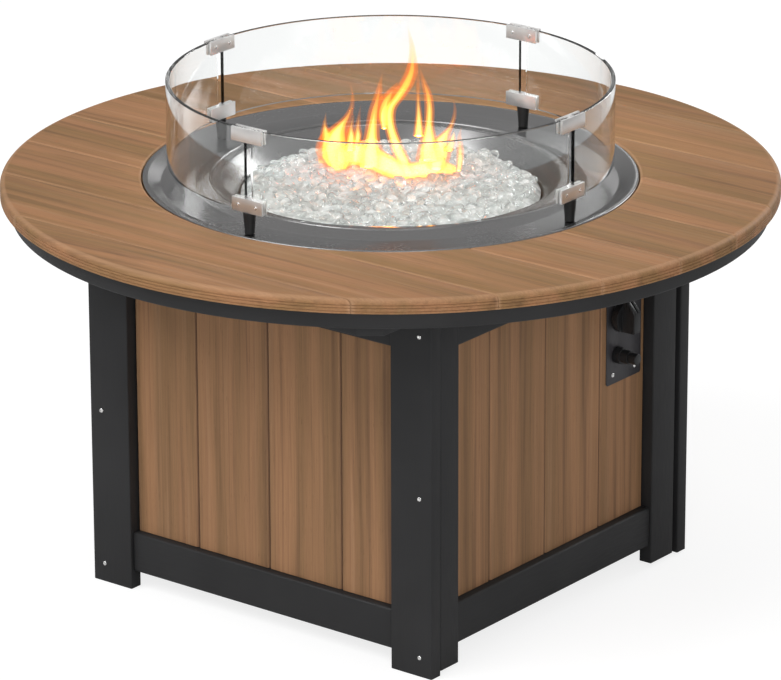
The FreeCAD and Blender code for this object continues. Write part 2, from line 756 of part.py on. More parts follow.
def burner_pan():
    """Drop-in pan: skirt, rolled rim, dish, bead, sloping lip and well."""
    upper = pan_surface()
    plain = [point for point in upper if not WELL_RADIUS < point[0] < DISH_OUTER_RADIUS]
    lower = [under_sheet(radius, height) for radius, height in plain]
    dish_edge = lower.index(under_sheet(DISH_OUTER_RADIUS, DISH_Z))
    lower.insert(dish_edge + 1, (LIP_RADIUS, DISH_Z - PAN_SHEET))
    inside = PAN_RADIUS - PAN_SHEET
    skirt = [
        (inside, TABLE_HEIGHT - PAN_RIM_ROUND),
        (inside, TOP_UNDERSIDE),
        (PAN_RADIUS, TOP_UNDERSIDE),
    ]
    rolled_rim = rounded_rim(PAN_RADIUS, TABLE_HEIGHT, PAN_RIM_ROUND)
    pan = revolved_outline(rolled_rim + upper + lower[::-1] + skirt)
    hub = bar(BURNER_SIDES, HUB_RADIUS, (0, 0, BOWL_FLOOR_Z - PAN_SHEET), (0, 0, BOWL_FLOOR_Z))
    return pan.cut(hub).cut(electrode_body())


def under_sheet(radius, height):
    """The point of the pan's underside that lies below a point of its upper side."""
    if radius == WELL_RADIUS:
        radius += PAN_SHEET
    return radius, height - PAN_SHEET


def fire_glass():
    """Heap of glass in the well: uneven lumps on top, hollow where it covers the burner."""
    low = BOWL_FLOOR_Z
    heap = revolved_outline([
        (0, low),
        (WELL_RADIUS, low),
        (WELL_RADIUS, TABLE_HEIGHT - HEAP_EDGE_DROP),
        (HEAP_TOP_RADIUS, HEAP_TOP_Z),
        (0, HEAP_TOP_Z),
    ])
    reach = BURNER_RADIUS + BURNER_TUBE / 2 + HEAP_POCKET_GAP
    high = BURNER_Z + BURNER_TUBE / 2 + HEAP_POCKET_GAP
    pocket = bar(BURNER_SIDES, reach, (0, 0, low), (0, 0, high))
    return heap.fuse(heap_lumps()).cut(pocket)


def heap_lumps():
    """Flat-topped mounds in rings about the middle, no two neighbours equally high."""
    places = [(0, 0)]
    for ring in range(1, LUMP_RINGS + 1):
        count = LUMPS_IN_FIRST_RING * ring
        turns = [radians(360 / count * i) for i in range(count)]
        reach = LUMP_PITCH * ring
        places += [(reach * cos(turn), reach * sin(turn)) for turn in turns]
    lumps = []
    for i, (x, y) in enumerate(places):
        crown = HEAP_TOP_Z + LUMP_HEIGHT + LUMP_UNEVEN * sin(LUMP_WAVE * i)
        ends = (x, y, HEAP_TOP_Z - LUMP_ROOT), (x, y, crown)
        lumps.append(tapered_bar(LUMP_SIDES, LUMP_RADIUS, LUMP_CROWN_RADIUS, *ends))
    return lumps


def burner():
    """Six-sided ring of square tube on spokes, with a hub that passes through the pan."""
    half = BURNER_TUBE / 2
    low, high = BURNER_Z - half, BURNER_Z + half
    outer = bar(BURNER_SIDES, BURNER_RADIUS + half, (0, 0, low), (0, 0, high))
    shape = outer.cut(bar(BURNER_SIDES, BURNER_RADIUS - half, (0, 0, low), (0, 0, high)))
    spoke_half = BURNER_SPOKE_WIDTH / 2
    reach = BURNER_RADIUS * cos(radians(180 / BURNER_SIDES))
    spoke = box((0, -spoke_half, BURNER_Z - spoke_half), (reach, spoke_half, BURNER_Z + spoke_half))
    for i in range(BURNER_SIDES):
        shape = shape.fuse(turned_by(spoke, 360 / BURNER_SIDES * i))
    hub = bar(BURNER_SIDES, HUB_RADIUS, (0, 0, HUB_BOTTOM_Z), (0, 0, high))
    return shape.fuse(hub).removeSplitter()


def air_mixer():
    """Hexagon bar under the burner where gas draws in air through a side window."""
    bottom = HUB_BOTTOM_Z - MIXER_LENGTH
    shape = bar(MIXER_SIDES, MIXER_RADIUS, (0, 0, bottom), (0, 0, HUB_BOTTOM_Z))
    half = MIXER_WINDOW_WIDTH / 2
    sill = bottom + MIXER_FLOOR
    window = box((-MIXER_RADIUS, -half, sill), (MIXER_RADIUS, half, sill + MIXER_WINDOW_HEIGHT))
    return shape.cut(window)


def electrode_place():
    turn = radians(180 / BURNER_SIDES)
    return ELECTRODE_FROM_AXIS * cos(turn), ELECTRODE_FROM_AXIS * sin(turn)


def electrode_body():
    x, y = electrode_place()
    low = BOWL_FLOOR_Z - PAN_SHEET - ELECTRODE_BELOW_PAN
    return rod(ELECTRODE_RADIUS, (x, y, low), (x, y, BOWL_FLOOR_Z + ELECTRODE_ABOVE_PAN))


def igniter_electrode():
    """Ceramic body through the pan, with its spark pin."""
    x, y = electrode_place()
    start = BOWL_FLOOR_Z + ELECTRODE_ABOVE_PAN
    half = ELECTRODE_PIN / 2
    pin = box((x - half, y - half, start), (x + half, y + half, start + ELECTRODE_PIN_LENGTH))
    return electrode_body().fuse(pin)


def control_plate():
    """Flat plate over the pocket in the right panel."""
    half = PLATE_WIDTH / 2
    low = (SIDE_PANEL_X, PLATE_Y - half, PLATE_BOTTOM)
    high = (PLATE_FACE_X, PLATE_Y + half, PLATE_BOTTOM + PLATE_HEIGHT)
    plate = board(low, high, 0, PLATE_CORNER)
    hole = STEM_RADIUS + STEM_HOLE_CLEARANCE
    back = SIDE_PANEL_X
    stem_hole = rod(hole, (back, CONTROL_Y, KNOB_Z), (PLATE_FACE_X, CONTROL_Y, KNOB_Z))
    ends = (back, CONTROL_Y, IGNITER_Z), (PLATE_FACE_X, CONTROL_Y, IGNITER_Z)
    barrel_hole = bar(BARREL_SIDES, BARREL_RADIUS, *ends)
    return plate.cut(stem_hole).cut(barrel_hole)


def valve_stations():
    """Distances along the stem axis, from the plate inwards."""
    flange_back = SIDE_PANEL_X - VALVE_FLANGE_THICKNESS
    neck_back = flange_back - VALVE_NECK_LENGTH
    body_back = neck_back - VALVE_BODY_LENGTH
    chamber_front = flange_back - VALVE_FLANGE_THICKNESS
    collar_front = chamber_front - COLLAR_CLEARANCE
    chamber_back = collar_front - COLLAR_THICKNESS - KNOB_TRAVEL - COLLAR_CLEARANCE
    return flange_back, neck_back, body_back, chamber_front, collar_front, chamber_back


def stem_inner_end():
    return valve_stations()[5] - STEM_IN_KNOB


def gas_valve():
    """Valve body behind the plate: flange, square neck with the collar chamber, inlet and outlet."""
    flange_back, neck_back, body_back, chamber_front, _, chamber_back = valve_stations()
    y, z = CONTROL_Y, KNOB_Z
    shape = square_block(flange_back, SIDE_PANEL_X, VALVE_FLANGE)
    shape = shape.fuse(square_block(neck_back, flange_back, VALVE_NECK))
    shape = shape.fuse(square_block(body_back, neck_back, VALVE_BODY))
    outlet_back = body_back - VALVE_OUTLET_LENGTH
    outlet = bar(OUTLET_SIDES, VALVE_OUTLET_RADIUS, (outlet_back, y, z), (body_back, y, z))
    shape = shape.fuse(outlet).fuse(gas_inlet((body_back + neck_back) / 2, y, z))
    chamber = square_block(chamber_back, chamber_front, COLLAR_SIZE + 2 * COLLAR_CLEARANCE)
    guide_end = stem_inner_end() - KNOB_TRAVEL - STEM_END_GAP
    guide = rod(STEM_RADIUS + STEM_CLEARANCE, (guide_end, y, z), (SIDE_PANEL_X, y, z))
    return shape.cut(chamber).cut(guide).removeSplitter()


def square_block(back, front, size):
    """A square block on the stem's axis."""
    half = size / 2
    return box((back, CONTROL_Y - half, KNOB_Z - half), (front, CONTROL_Y + half, KNOB_Z + half))


def gas_inlet(x, y, z):
    """Hexagon and flare end that the supply hose screws onto, pointing down."""
    hex_top = z - VALVE_BODY / 2
    hex_bottom = hex_top - INLET_HEX_LENGTH
    corner = INLET_HEX_WIDTH / 2 / cos(radians(30))
    shape = bar(OUTLET_SIDES, corner, (x, y, hex_bottom), (x, y, hex_top))
    return shape.fuse(rod(INLET_FLARE_RADIUS, (x, y, hex_bottom - INLET_FLARE_LENGTH), (x, y, hex_bottom)))


def knob_rear():
    return PLATE_FACE_X + KNOB_TRAVEL + KNOB_GAP


def valve_stem():
    """Round stem from the valve into the knob."""
    start = (stem_inner_end(), CONTROL_Y, KNOB_Z)
    return rod(STEM_RADIUS, start, (knob_rear() + STEM_IN_KNOB, CONTROL_Y, KNOB_Z))


def stem_collar():
    """Sprung square collar that carries the stem when it is pushed in."""
    front = valve_stations()[4]
    back = front - COLLAR_THICKNESS
    hole = rod(STEM_RADIUS + STEM_CLEARANCE, (back, CONTROL_Y, KNOB_Z), (front, CONTROL_Y, KNOB_Z))
    return square_block(back, front, COLLAR_SIZE).cut(hole)


def grip():
    """Bar grip: straight lower half, upper half that slopes back, with a pointer groove."""
    x = knob_rear() + SKIRT_THICKNESS
    low = KNOB_Z - GRIP_BELOW
    high = KNOB_Z + GRIP_ABOVE
    front = x + GRIP_DEPTH
    bend = low + GRIP_STRAIGHT
    tip = x + GRIP_TIP_DEPTH
    y = CONTROL_Y - GRIP_WIDTH / 2
    outline = [(x, low), (front, low), (front, bend), (tip, high), (x, high)]
    body = prism([(px, y, pz) for px, pz in outline], (0, GRIP_WIDTH, 0))
    outer = [edge for edge in body.Edges if min(v.X for v in edge.Vertexes) > x + SAME]
    body = body.makeChamfer(GRIP_EASE, outer)
    slope = V(tip - front, 0, high - bend).normalize()
    out = V(slope.z, 0, -slope.x)
    inward = out * -GRIP_LINE_DEPTH
    start, end = V(front, 0, bend), V(tip, 0, high)
    corners = [start + out, end + out, end + inward, start + inward]
    line_y = CONTROL_Y - GRIP_LINE_WIDTH / 2
    groove = prism([(c.x, line_y, c.z) for c in corners], (0, GRIP_LINE_WIDTH, 0))
    return body.cut(groove)


def control_knob():
    """Round skirt and bar grip on the stem."""
    rear = (knob_rear(), CONTROL_Y, KNOB_Z)
    skirt = bar(SKIRT_SIDES, SKIRT_RADIUS, rear, (knob_rear() + SKIRT_THICKNESS, CONTROL_Y, KNOB_Z))
    bore = rod(STEM_RADIUS, rear, (knob_rear() + STEM_IN_KNOB, CONTROL_Y, KNOB_Z))
    return skirt.fuse(grip()).cut(bore)


def gas_tube():
    """Rigid tube from the valve outlet to the foot of the air mixer."""
    start_x = valve_stations()[2] - VALVE_OUTLET_LENGTH
    route = [
        V(start_x, CONTROL_Y, KNOB_Z),
        V(start_x - TUBE_LEAD, CONTROL_Y, KNOB_Z),
        V(0, 0, KNOB_Z),
        V(0, 0, HUB_BOTTOM_Z - MIXER_LENGTH),
    ]
    path = Part.makePolygon(route)
    section = Part.Wire([Part.makeCircle(GAS_TUBE_RADIUS, route[0], V(1, 0, 0))])
    return path.makePipeShell([section], True, False, 1)


def igniter_front():
    """Where the fixed sleeve of the igniter ends in front of the plate."""
    return PLATE_FACE_X + BEZEL_LENGTH + SLEEVE_LENGTH


def igniter_body():
    """Round bezel and narrower sleeve in front of the plate, and the barrel behind it."""
    bezel_end = PLATE_FACE_X + BEZEL_LENGTH
    front = igniter_front()
    y, z = CONTROL_Y, IGNITER_Z
    shape = bar(BEZEL_SIDES, BEZEL_RADIUS, (PLATE_FACE_X, y, z), (bezel_end, y, z))
    shape = shape.fuse(bar(BEZEL_SIDES, SLEEVE_RADIUS, (bezel_end, y, z), (front, y, z)))
    barrel = bar(BARREL_SIDES, BARREL_RADIUS, (PLATE_FACE_X - BARREL_LENGTH, y, z), (PLATE_FACE_X, y, z))
    shape = shape.fuse(barrel)
    depth = BUTTON_DEPTH + BUTTON_TRAVEL + BUTTON_END_GAP
    bore = rod(BUTTON_RADIUS + BUTTON_CLEARANCE, (front - depth, y, z), (front, y, z))
    return shape.cut(bore)


def igniter_button():
    front = igniter_front()
    start = (front - BUTTON_DEPTH, CONTROL_Y, IGNITER_Z)
    return rod(BUTTON_RADIUS, start, (front + BUTTON_REACH, CONTROL_Y, IGNITER_Z))


def guard_wall(height, low):
    """The full glass ring that the four panels are cut from."""
    inner = GUARD_RADIUS - GUARD_THICKNESS
    return rod(GUARD_RADIUS, (0, 0, low), (0, 0, low + height)).cut(
        rod(inner, (0, 0, low), (0, 0, low + height))
    )


def joint_slots(width):
    """Upright slots through the ring at the joints between panels."""
    half = width / 2
    slot = box((0, -half, GUARD_Z), (GUARD_RADIUS + CLIP_WALL, half, GUARD_Z + GUARD_HEIGHT))
    return [at_joint(slot, i) for i in range(GUARD_PANELS)]


def at_joint(shape, i):
    return turned_by(shape, 360 / GUARD_PANELS * i)


def glass_panels():
    wall = guard_wall(GUARD_HEIGHT, GUARD_Z)
    for slot in joint_slots(GUARD_JOINT_GAP):
        wall = wall.cut(slot)
    panels = sorted(wall.Solids, key=lambda one: atan2(one.CenterOfMass.y, one.CenterOfMass.x))
    for i, one in enumerate(panels):
        save(f"glass_panel_{i + 1}", one)


def clip_levels():
    upper = GUARD_Z + GUARD_HEIGHT + CLIP_ABOVE_GLASS - CLIP_HEIGHT
    return GUARD_Z, upper


def clip_faces():
    """Outer and inner flat faces of a clip, as distances from the middle."""
    inner_glass = GUARD_RADIUS - GUARD_THICKNESS
    chord = sqrt(inner_glass**2 - (CLIP_LENGTH / 2) ** 2)
    return GUARD_RADIUS + CLIP_WALL, chord - CLIP_WALL


def clip_screw(outer_side, low, side):
    """Low head on one wall of a clip."""
    outer, inner = clip_faces()
    y = side * CLIP_SCREW_SPACING / 2
    z = low + CLIP_HEIGHT / 2
    face, out = (outer, 1) if outer_side else (inner, -1)
    return bar(CLIP_SCREW_SIDES, CLIP_SCREW_RADIUS, (face, y, z), (face + out * CLIP_SCREW_PROUD, y, z))


def clips():
    """Eight clips: two walls joined by a web in the gap between two glass panels."""
    outer, inner = clip_faces()
    half = CLIP_LENGTH / 2
    bodies, screws = [], []
    for outer_side, low in zip((True, False), clip_levels()):
        block = box((inner, -half, low), (outer, half, low + CLIP_HEIGHT))
        glass = guard_wall(CLIP_HEIGHT, low)
        web = box((0, -CLIP_WEB / 2, low), (outer, CLIP_WEB / 2, low + CLIP_HEIGHT))
        clip = block.cut(glass.cut(web))
        pair = [clip_screw(outer_side, low, side) for side in (-1, 1)]
        bodies += [at_joint(clip, i) for i in range(GUARD_PANELS)]
        screws += [at_joint(one, i) for one in pair for i in range(GUARD_PANELS)]
    save("guard_clips", group(bodies))
    save("clip_screws", group(screws))


def guard_feet():
    """Tapered feet under the lower clips, standing in the dish of the pan."""
    middle = GUARD_RADIUS - GUARD_THICKNESS / 2
    base = (middle, 0, DISH_Z + FOOT_CLEARANCE)
    foot = tapered_bar(FOOT_SIDES, FOOT_BOTTOM_RADIUS, FOOT_TOP_RADIUS, base, (middle, 0, GUARD_Z))
    return group([at_joint(foot, i) for i in range(GUARD_PANELS)])


def main():
    os.makedirs("parts", exist_ok=True)
    top_boards()
    save("top_ring", top_ring())
    save("under_battens", under_battens())
    front_legs()
    side_legs()
    front_rails()
    side_rails()
    rear_crossbars()
    save("inner_frame", inner_frame())
    fixed_panels()
    door()
    hinges()
    door_catch()
    save("face_screws", group(leg_screws() + plate_screws()))
    save("burner_pan", burner_pan())
    save("fire_glass", fire_glass())
    save("burner_ring", burner())
    save("air_mixer", air_mixer())
    save("igniter_electrode", igniter_electrode())
    save("control_plate", control_plate())
    save("gas_valve", gas_valve())
    save("valve_stem", valve_stem())
    save("stem_collar", stem_collar())
    save("control_knob", control_knob())
    save("gas_tube", gas_tube())
    save("igniter_body", igniter_body())
    save("igniter_button", igniter_button())
    glass_panels()
    clips()
    save("guard_feet", guard_feet())


main()
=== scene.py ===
import json
import random
from math import asin, cos, pi, radians, sin, sqrt, tau

import bmesh
import bpy
from mathutils import Matrix, Vector

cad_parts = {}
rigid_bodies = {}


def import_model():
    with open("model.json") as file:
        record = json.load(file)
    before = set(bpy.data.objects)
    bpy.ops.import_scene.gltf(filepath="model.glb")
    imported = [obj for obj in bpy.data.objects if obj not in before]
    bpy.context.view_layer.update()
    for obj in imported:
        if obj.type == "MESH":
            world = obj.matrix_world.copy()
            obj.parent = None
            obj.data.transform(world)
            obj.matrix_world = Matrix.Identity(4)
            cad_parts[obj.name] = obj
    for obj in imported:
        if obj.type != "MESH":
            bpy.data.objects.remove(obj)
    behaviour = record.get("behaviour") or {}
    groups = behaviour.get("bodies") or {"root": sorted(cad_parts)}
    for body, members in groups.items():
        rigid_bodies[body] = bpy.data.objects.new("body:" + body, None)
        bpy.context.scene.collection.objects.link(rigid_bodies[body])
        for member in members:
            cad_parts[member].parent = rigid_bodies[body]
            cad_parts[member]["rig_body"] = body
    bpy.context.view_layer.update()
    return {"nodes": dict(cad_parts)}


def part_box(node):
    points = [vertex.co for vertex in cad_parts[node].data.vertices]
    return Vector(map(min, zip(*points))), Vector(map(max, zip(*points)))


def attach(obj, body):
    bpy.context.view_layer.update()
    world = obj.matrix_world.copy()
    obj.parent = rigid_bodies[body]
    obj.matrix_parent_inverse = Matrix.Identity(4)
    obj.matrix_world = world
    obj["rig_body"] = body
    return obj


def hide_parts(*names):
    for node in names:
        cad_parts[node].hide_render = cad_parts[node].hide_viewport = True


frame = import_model()
NODES = frame["nodes"]

# Metres, +Z up. The front of the table faces -Y and the side with the controls faces +X.

# Camera
CAMERA_PLACE = Vector((4.6446, -5.9285, 3.0363))
CAMERA_FORWARD = Vector((-0.57480445, 0.74691103, -0.33425103))
CAMERA_RIGHT = Vector((0.79249193, 0.6098824, 0))
SENSOR_WIDTH = 36.0
CAMERA_LENS = 243.15
CAMERA_SHIFT = -0.056

# Round top
TABLE_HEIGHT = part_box("top_board_5")[1].z
TOP_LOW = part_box("top_board_5")[0].z
TOP_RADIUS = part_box("top_board_5")[1].x
TOP_ROWS = 9
TOP_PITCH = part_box("top_board_6")[0].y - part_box("top_board_5")[0].y
BOARD_GAP = 0.001
HOLE_RADIUS = 0.3735
RIM_ROUND = 0.008
SEAM_ROUND = 0.0035
GROOVE_DEPTHS = (0.0092, 0.0134, 0.0184)
GROOVE_WIDTH = 0.0014
GROOVE_CUT = 0.0012
ROUND_TOP_STEPS = 360
# How far inside the outer edge the painted highlight line runs on the rim's roundover
RIM_HIGHLIGHT_INSET = 0.0045

# Burner pan
PAN_RADIUS = 0.372
PAN_SHEET = 0.0016
PAN_STEPS = 288
WELL_RADIUS = 0.228
BOWL_FLOOR = TABLE_HEIGHT - 0.045

# Fire glass: a bed with lumps in rings, covered with nuggets
HEAP_RADIUS = 0.226
HEAP_SHOULDER = 0.214
HEAP_TOP = TABLE_HEIGHT - 0.0175
HEAP_EDGE = TABLE_HEIGHT - 0.026
LUMP_PITCH = 0.060
LUMP_RINGS = 3
LUMP_RADIUS = 0.029
LUMP_CROWN_RADIUS = 0.012
LUMP_HEIGHT = 0.005
LUMP_UNEVEN = 0.0015
LUMP_ROOT = 0.003
BED_DROP = 0.0042
NUGGET_PITCH = 0.0175
NUGGET_SIZES = (0.0098, 0.0145)
LAYER_DROPS = (0.0095, 0.0030)

# Panel boards
PANEL_PITCH = 0.137
FRONT_SEAM = 0.007
SIDE_SEAM = -0.0219
DOOR_SEAM = -0.012

# Wind guard
GUARD_RADIUS = 0.335
GUARD_THICKNESS = 0.006
JOINT_HALF_GAP = 0.0065
GLASS_BEVEL = 0.0008
GLASS_STEPS = 72
CLIP_MIDDLE_Z = (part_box("guard_clips")[0].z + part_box("guard_clips")[1].z) / 2

# Studio
WORLD_LEVEL = 0.33
LOW_SKY = (0.18, 0.5, 0.25, 0.70)
LOW_RAY = 0.08
FLOOR_GLOW = 1.3
FLOOR_SHARE = 0.62
FLOOR_REACH = 14
FLOOR_DROP = 0.0005

# Fire: two level directions, then each tongue's place across the view and its points
# (along, height, half width)
FLAME_ALONG = Vector((0.79249, 0.60988, 0))
FLAME_ACROSS = Vector((-0.60988, 0.79249, 0))
TONGUES = (
    (0.070, (
        (-0.080, 0.616, 0.0135), (-0.083, 0.632, 0.0225), (-0.086, 0.651, 0.0240),
        (-0.083, 0.670, 0.0195), (-0.075, 0.684, 0.0120), (-0.066, 0.697, 0.0067),
        (-0.059, 0.714, 0.0039), (-0.058, 0.735, 0.0024), (-0.063, 0.754, 0.0004),
    )),
    (0.075, (
        (-0.092, 0.643, 0.0120), (-0.097, 0.666, 0.0090), (-0.100, 0.683, 0.0039),
        (-0.098, 0.703, 0.0004),
    )),
    (0.060, (
        (-0.062, 0.648, 0.0075), (-0.060, 0.667, 0.0075), (-0.060, 0.684, 0.0045),
        (-0.057, 0.702, 0.0018), (-0.059, 0.714, 0.0004),
    )),
    (0.060, (
        (-0.053, 0.654, 0.0045), (-0.050, 0.670, 0.0060), (-0.050, 0.683, 0.0048),
        (-0.048, 0.702, 0.0024), (-0.045, 0.720, 0.0004),
    )),
    (0.040, (
        (-0.030, 0.629, 0.0180), (-0.030, 0.651, 0.0165), (-0.029, 0.673, 0.0112),
        (-0.027, 0.695, 0.0097), (-0.024, 0.717, 0.0090), (-0.019, 0.739, 0.0067),
        (-0.016, 0.758, 0.0036), (-0.012, 0.777, 0.0004),
    )),
    (0.045, (
        (-0.010, 0.687, 0.0045), (-0.010, 0.709, 0.0105), (-0.006, 0.730, 0.0120),
        (0.003, 0.747, 0.0075), (0.011, 0.760, 0.0006),
    )),
    (0.020, (
        (0.026, 0.626, 0.0090), (0.018, 0.645, 0.0097), (0.007, 0.672, 0.0090),
        (-0.001, 0.700, 0.0082), (-0.001, 0.725, 0.0090), (0.011, 0.744, 0.0105),
        (0.023, 0.763, 0.0112), (0.031, 0.783, 0.0097), (0.033, 0.802, 0.0067),
        (0.032, 0.822, 0.0045), (0.029, 0.838, 0.0027), (0.025, 0.855, 0.0004),
    )),
    (0.020, (
        (0.042, 0.683, 0.0075), (0.042, 0.711, 0.0051), (0.041, 0.739, 0.0033),
        (0.041, 0.764, 0.0030), (0.041, 0.794, 0.0004),
    )),
    (0.015, (
        (0.059, 0.647, 0.0180), (0.057, 0.670, 0.0135), (0.057, 0.698, 0.0075),
        (0.058, 0.726, 0.0069), (0.056, 0.748, 0.0063), (0.051, 0.764, 0.0048),
        (0.046, 0.781, 0.0024), (0.043, 0.793, 0.0004),
    )),
    (0.020, (
        (0.068, 0.632, 0.0120), (0.071, 0.654, 0.0165), (0.074, 0.673, 0.0135),
        (0.082, 0.686, 0.0075), (0.090, 0.698, 0.0045), (0.095, 0.713, 0.0033),
        (0.096, 0.728, 0.0022), (0.093, 0.741, 0.0004),
    )),
    (0.020, (
        (0.086, 0.661, 0.0075), (0.092, 0.676, 0.0052), (0.095, 0.691, 0.0004),
    )),
    (0.030, (
        (0.102, 0.626, 0.0037), (0.104, 0.642, 0.0051), (0.104, 0.661, 0.0054),
        (0.103, 0.679, 0.0030), (0.106, 0.694, 0.0004),
    )),
)
# The low fire between the tongues: along, across, half width
FLAME_BASE = (
    (-0.105, 0.099, 0.0045), (-0.080, 0.068, 0.0120), (-0.058, 0.082, 0.0135),
    (-0.030, 0.059, 0.0135), (-0.004, 0.027, 0.0120), (0.023, 0.016, 0.0090),
    (0.050, 0.026, 0.0090), (0.074, 0.045, 0.0075), (0.098, 0.045, 0.0045),
)
FLAME_BASE_WIDENING = 1.7
FLAME_FOOT = 0.614
FLAME_MIRRORED = 0.06


def add_node(tree, kind, links=None, **settings):
    """Add a node; links feeds its inputs from other nodes' outputs or plain values."""
    made = tree.nodes.new(kind)
    for key, value in settings.items():
        setattr(made, key, value)
    for key, value in (links or {}).items():
        if isinstance(value, bpy.types.NodeSocket):
            tree.links.new(value, made.inputs[key])
        else:
            made.inputs[key].default_value = value
    return made


def add_math(tree, operation, a, b=0.0, c=0.0):
    return add_node(tree, "ShaderNodeMath", {0: a, 1: b, 2: c}, operation=operation).outputs[0]


def add_object(name, data):
    made = bpy.data.objects.new(name, data)
    bpy.context.scene.collection.objects.link(made)
    return made


class Surface:
    """A material whose nodes are added by short calls."""

    def __init__(self, name, colour, roughness, metallic=0.0, **settings):
        self.material = bpy.data.materials.new(name)
        self.material.use_nodes = True
        self.tree = self.material.node_tree
        self.shader = self.tree.nodes["Principled BSDF"]
        self.shader.inputs["Base Color"].default_value = (*colour, 1)
        self.shader.inputs["Roughness"].default_value = roughness
        self.shader.inputs["Metallic"].default_value = metallic
        for key, value in settings.items():
            self.shader.inputs[key.replace("_", " ")].default_value = value
        self.material.diffuse_color = (*colour, 1)

    def node(self, kind, links=None, **settings):
        return add_node(self.tree, kind, links, **settings)

    def link(self, output, name):
        self.tree.links.new(output, self.shader.inputs[name])

    def place(self):
        return self.node("ShaderNodeTexCoord").outputs["Object"]

    def math(self, operation, a, b=0.0, c=0.0):
        return add_math(self.tree, operation, a, b, c)

    def vector(self, operation, a, b, c=(0.0, 0.0, 0.0)):
        links = {0: a, 1: b, 2: c} if operation == "MULTIPLY_ADD" else {0: a, 1: b}
        return self.node("ShaderNodeVectorMath", links, operation=operation).outputs[0]

    def noise(self, vector, scale, detail=2.0, rough=0.5, distortion=0.0):
        links = {
            "Vector": vector,
            "Scale": scale,
            "Detail": detail,
            "Roughness": rough,
            "Distortion": distortion,
        }
        return self.node("ShaderNodeTexNoise", links).outputs["Fac"]

    def stretch(self, value, low, high, to_low=0.0, to_high=1.0):
        """Map a range of values to another, held at its ends."""
        links = {
            "Value": value,
            "From Min": low,
            "From Max": high,
            "To Min": to_low,
            "To Max": to_high,
        }
        return self.node("ShaderNodeMapRange", links, clamp=True).outputs["Result"]

    def mix(self, share, first, second, blend="MIX"):
        """Mix two colours; each is a colour or another node's output."""
        made = self.tree.nodes.new("ShaderNodeMix")
        made.data_type = "RGBA"
        made.blend_type = blend
        for key, value in ((0, share), (6, first), (7, second)):
            if isinstance(value, bpy.types.NodeSocket):
                self.tree.links.new(value, made.inputs[key])
            elif key == 0:
                made.inputs[key].default_value = value
            else:
                made.inputs[key].default_value = (*value, 1)
        return made.outputs[2]

    def bump(self, height, strength, distance):
        """Raise the surface by a height map; distance is in metres."""
        links = {"Height": height, "Strength": strength, "Distance": distance}
        made = self.node("ShaderNodeBump", links)
        self.link(made.outputs["Normal"], "Normal")


def axis_scale(grain, along, across):
    """Scales of a texture that runs along one axis."""
    return tuple(along if axis == grain else across for axis in "XYZ")


def board_cells(surface, place, across, seam, pitch, split):
    """A number for each board, and how far a point is from the nearest board edge.

    The rows run across the grain; inside the split, the two sides are separate boards.
    With a split, the opening's edge and a line on the rim's roundover also count as edges, so the
    painted highlight falls there too.
    """
    parts = surface.node("ShaderNodeSeparateXYZ", {0: place}).outputs
    shifted = surface.math("DIVIDE", surface.math("SUBTRACT", parts[across], seam), pitch)
    row = surface.math("FLOOR", shifted)
    share = surface.math("FRACT", shifted)
    edge = surface.math("MINIMUM", share, surface.math("SUBTRACT", 1.0, share))
    edge = surface.math("MULTIPLY", edge, pitch)
    if not split:
        return row, edge
    inside = surface.math("LESS_THAN", surface.math("ABSOLUTE", parts["Y"]), split)
    right = surface.math("GREATER_THAN", parts["X"], 0.0)
    both = surface.math("MULTIPLY", inside, right)
    flat = surface.node("ShaderNodeCombineXYZ", {0: parts["X"], 1: parts["Y"], 2: 0.0}).outputs[0]
    radius = surface.node("ShaderNodeVectorMath", {0: flat}, operation="LENGTH").outputs["Value"]
    # Painted highlight along the opening's eased edge and in a line on the rim's roundover: both
    # count as board edges.
    edge = surface.math("MINIMUM", edge, surface.math("SUBTRACT", radius, HOLE_RADIUS))
    rim = surface.math("ABSOLUTE", surface.math("SUBTRACT", TOP_RADIUS - RIM_HIGHLIGHT_INSET, radius))
    return surface.math("MULTIPLY_ADD", both, 31.0, row), surface.math("MINIMUM", edge, rim)


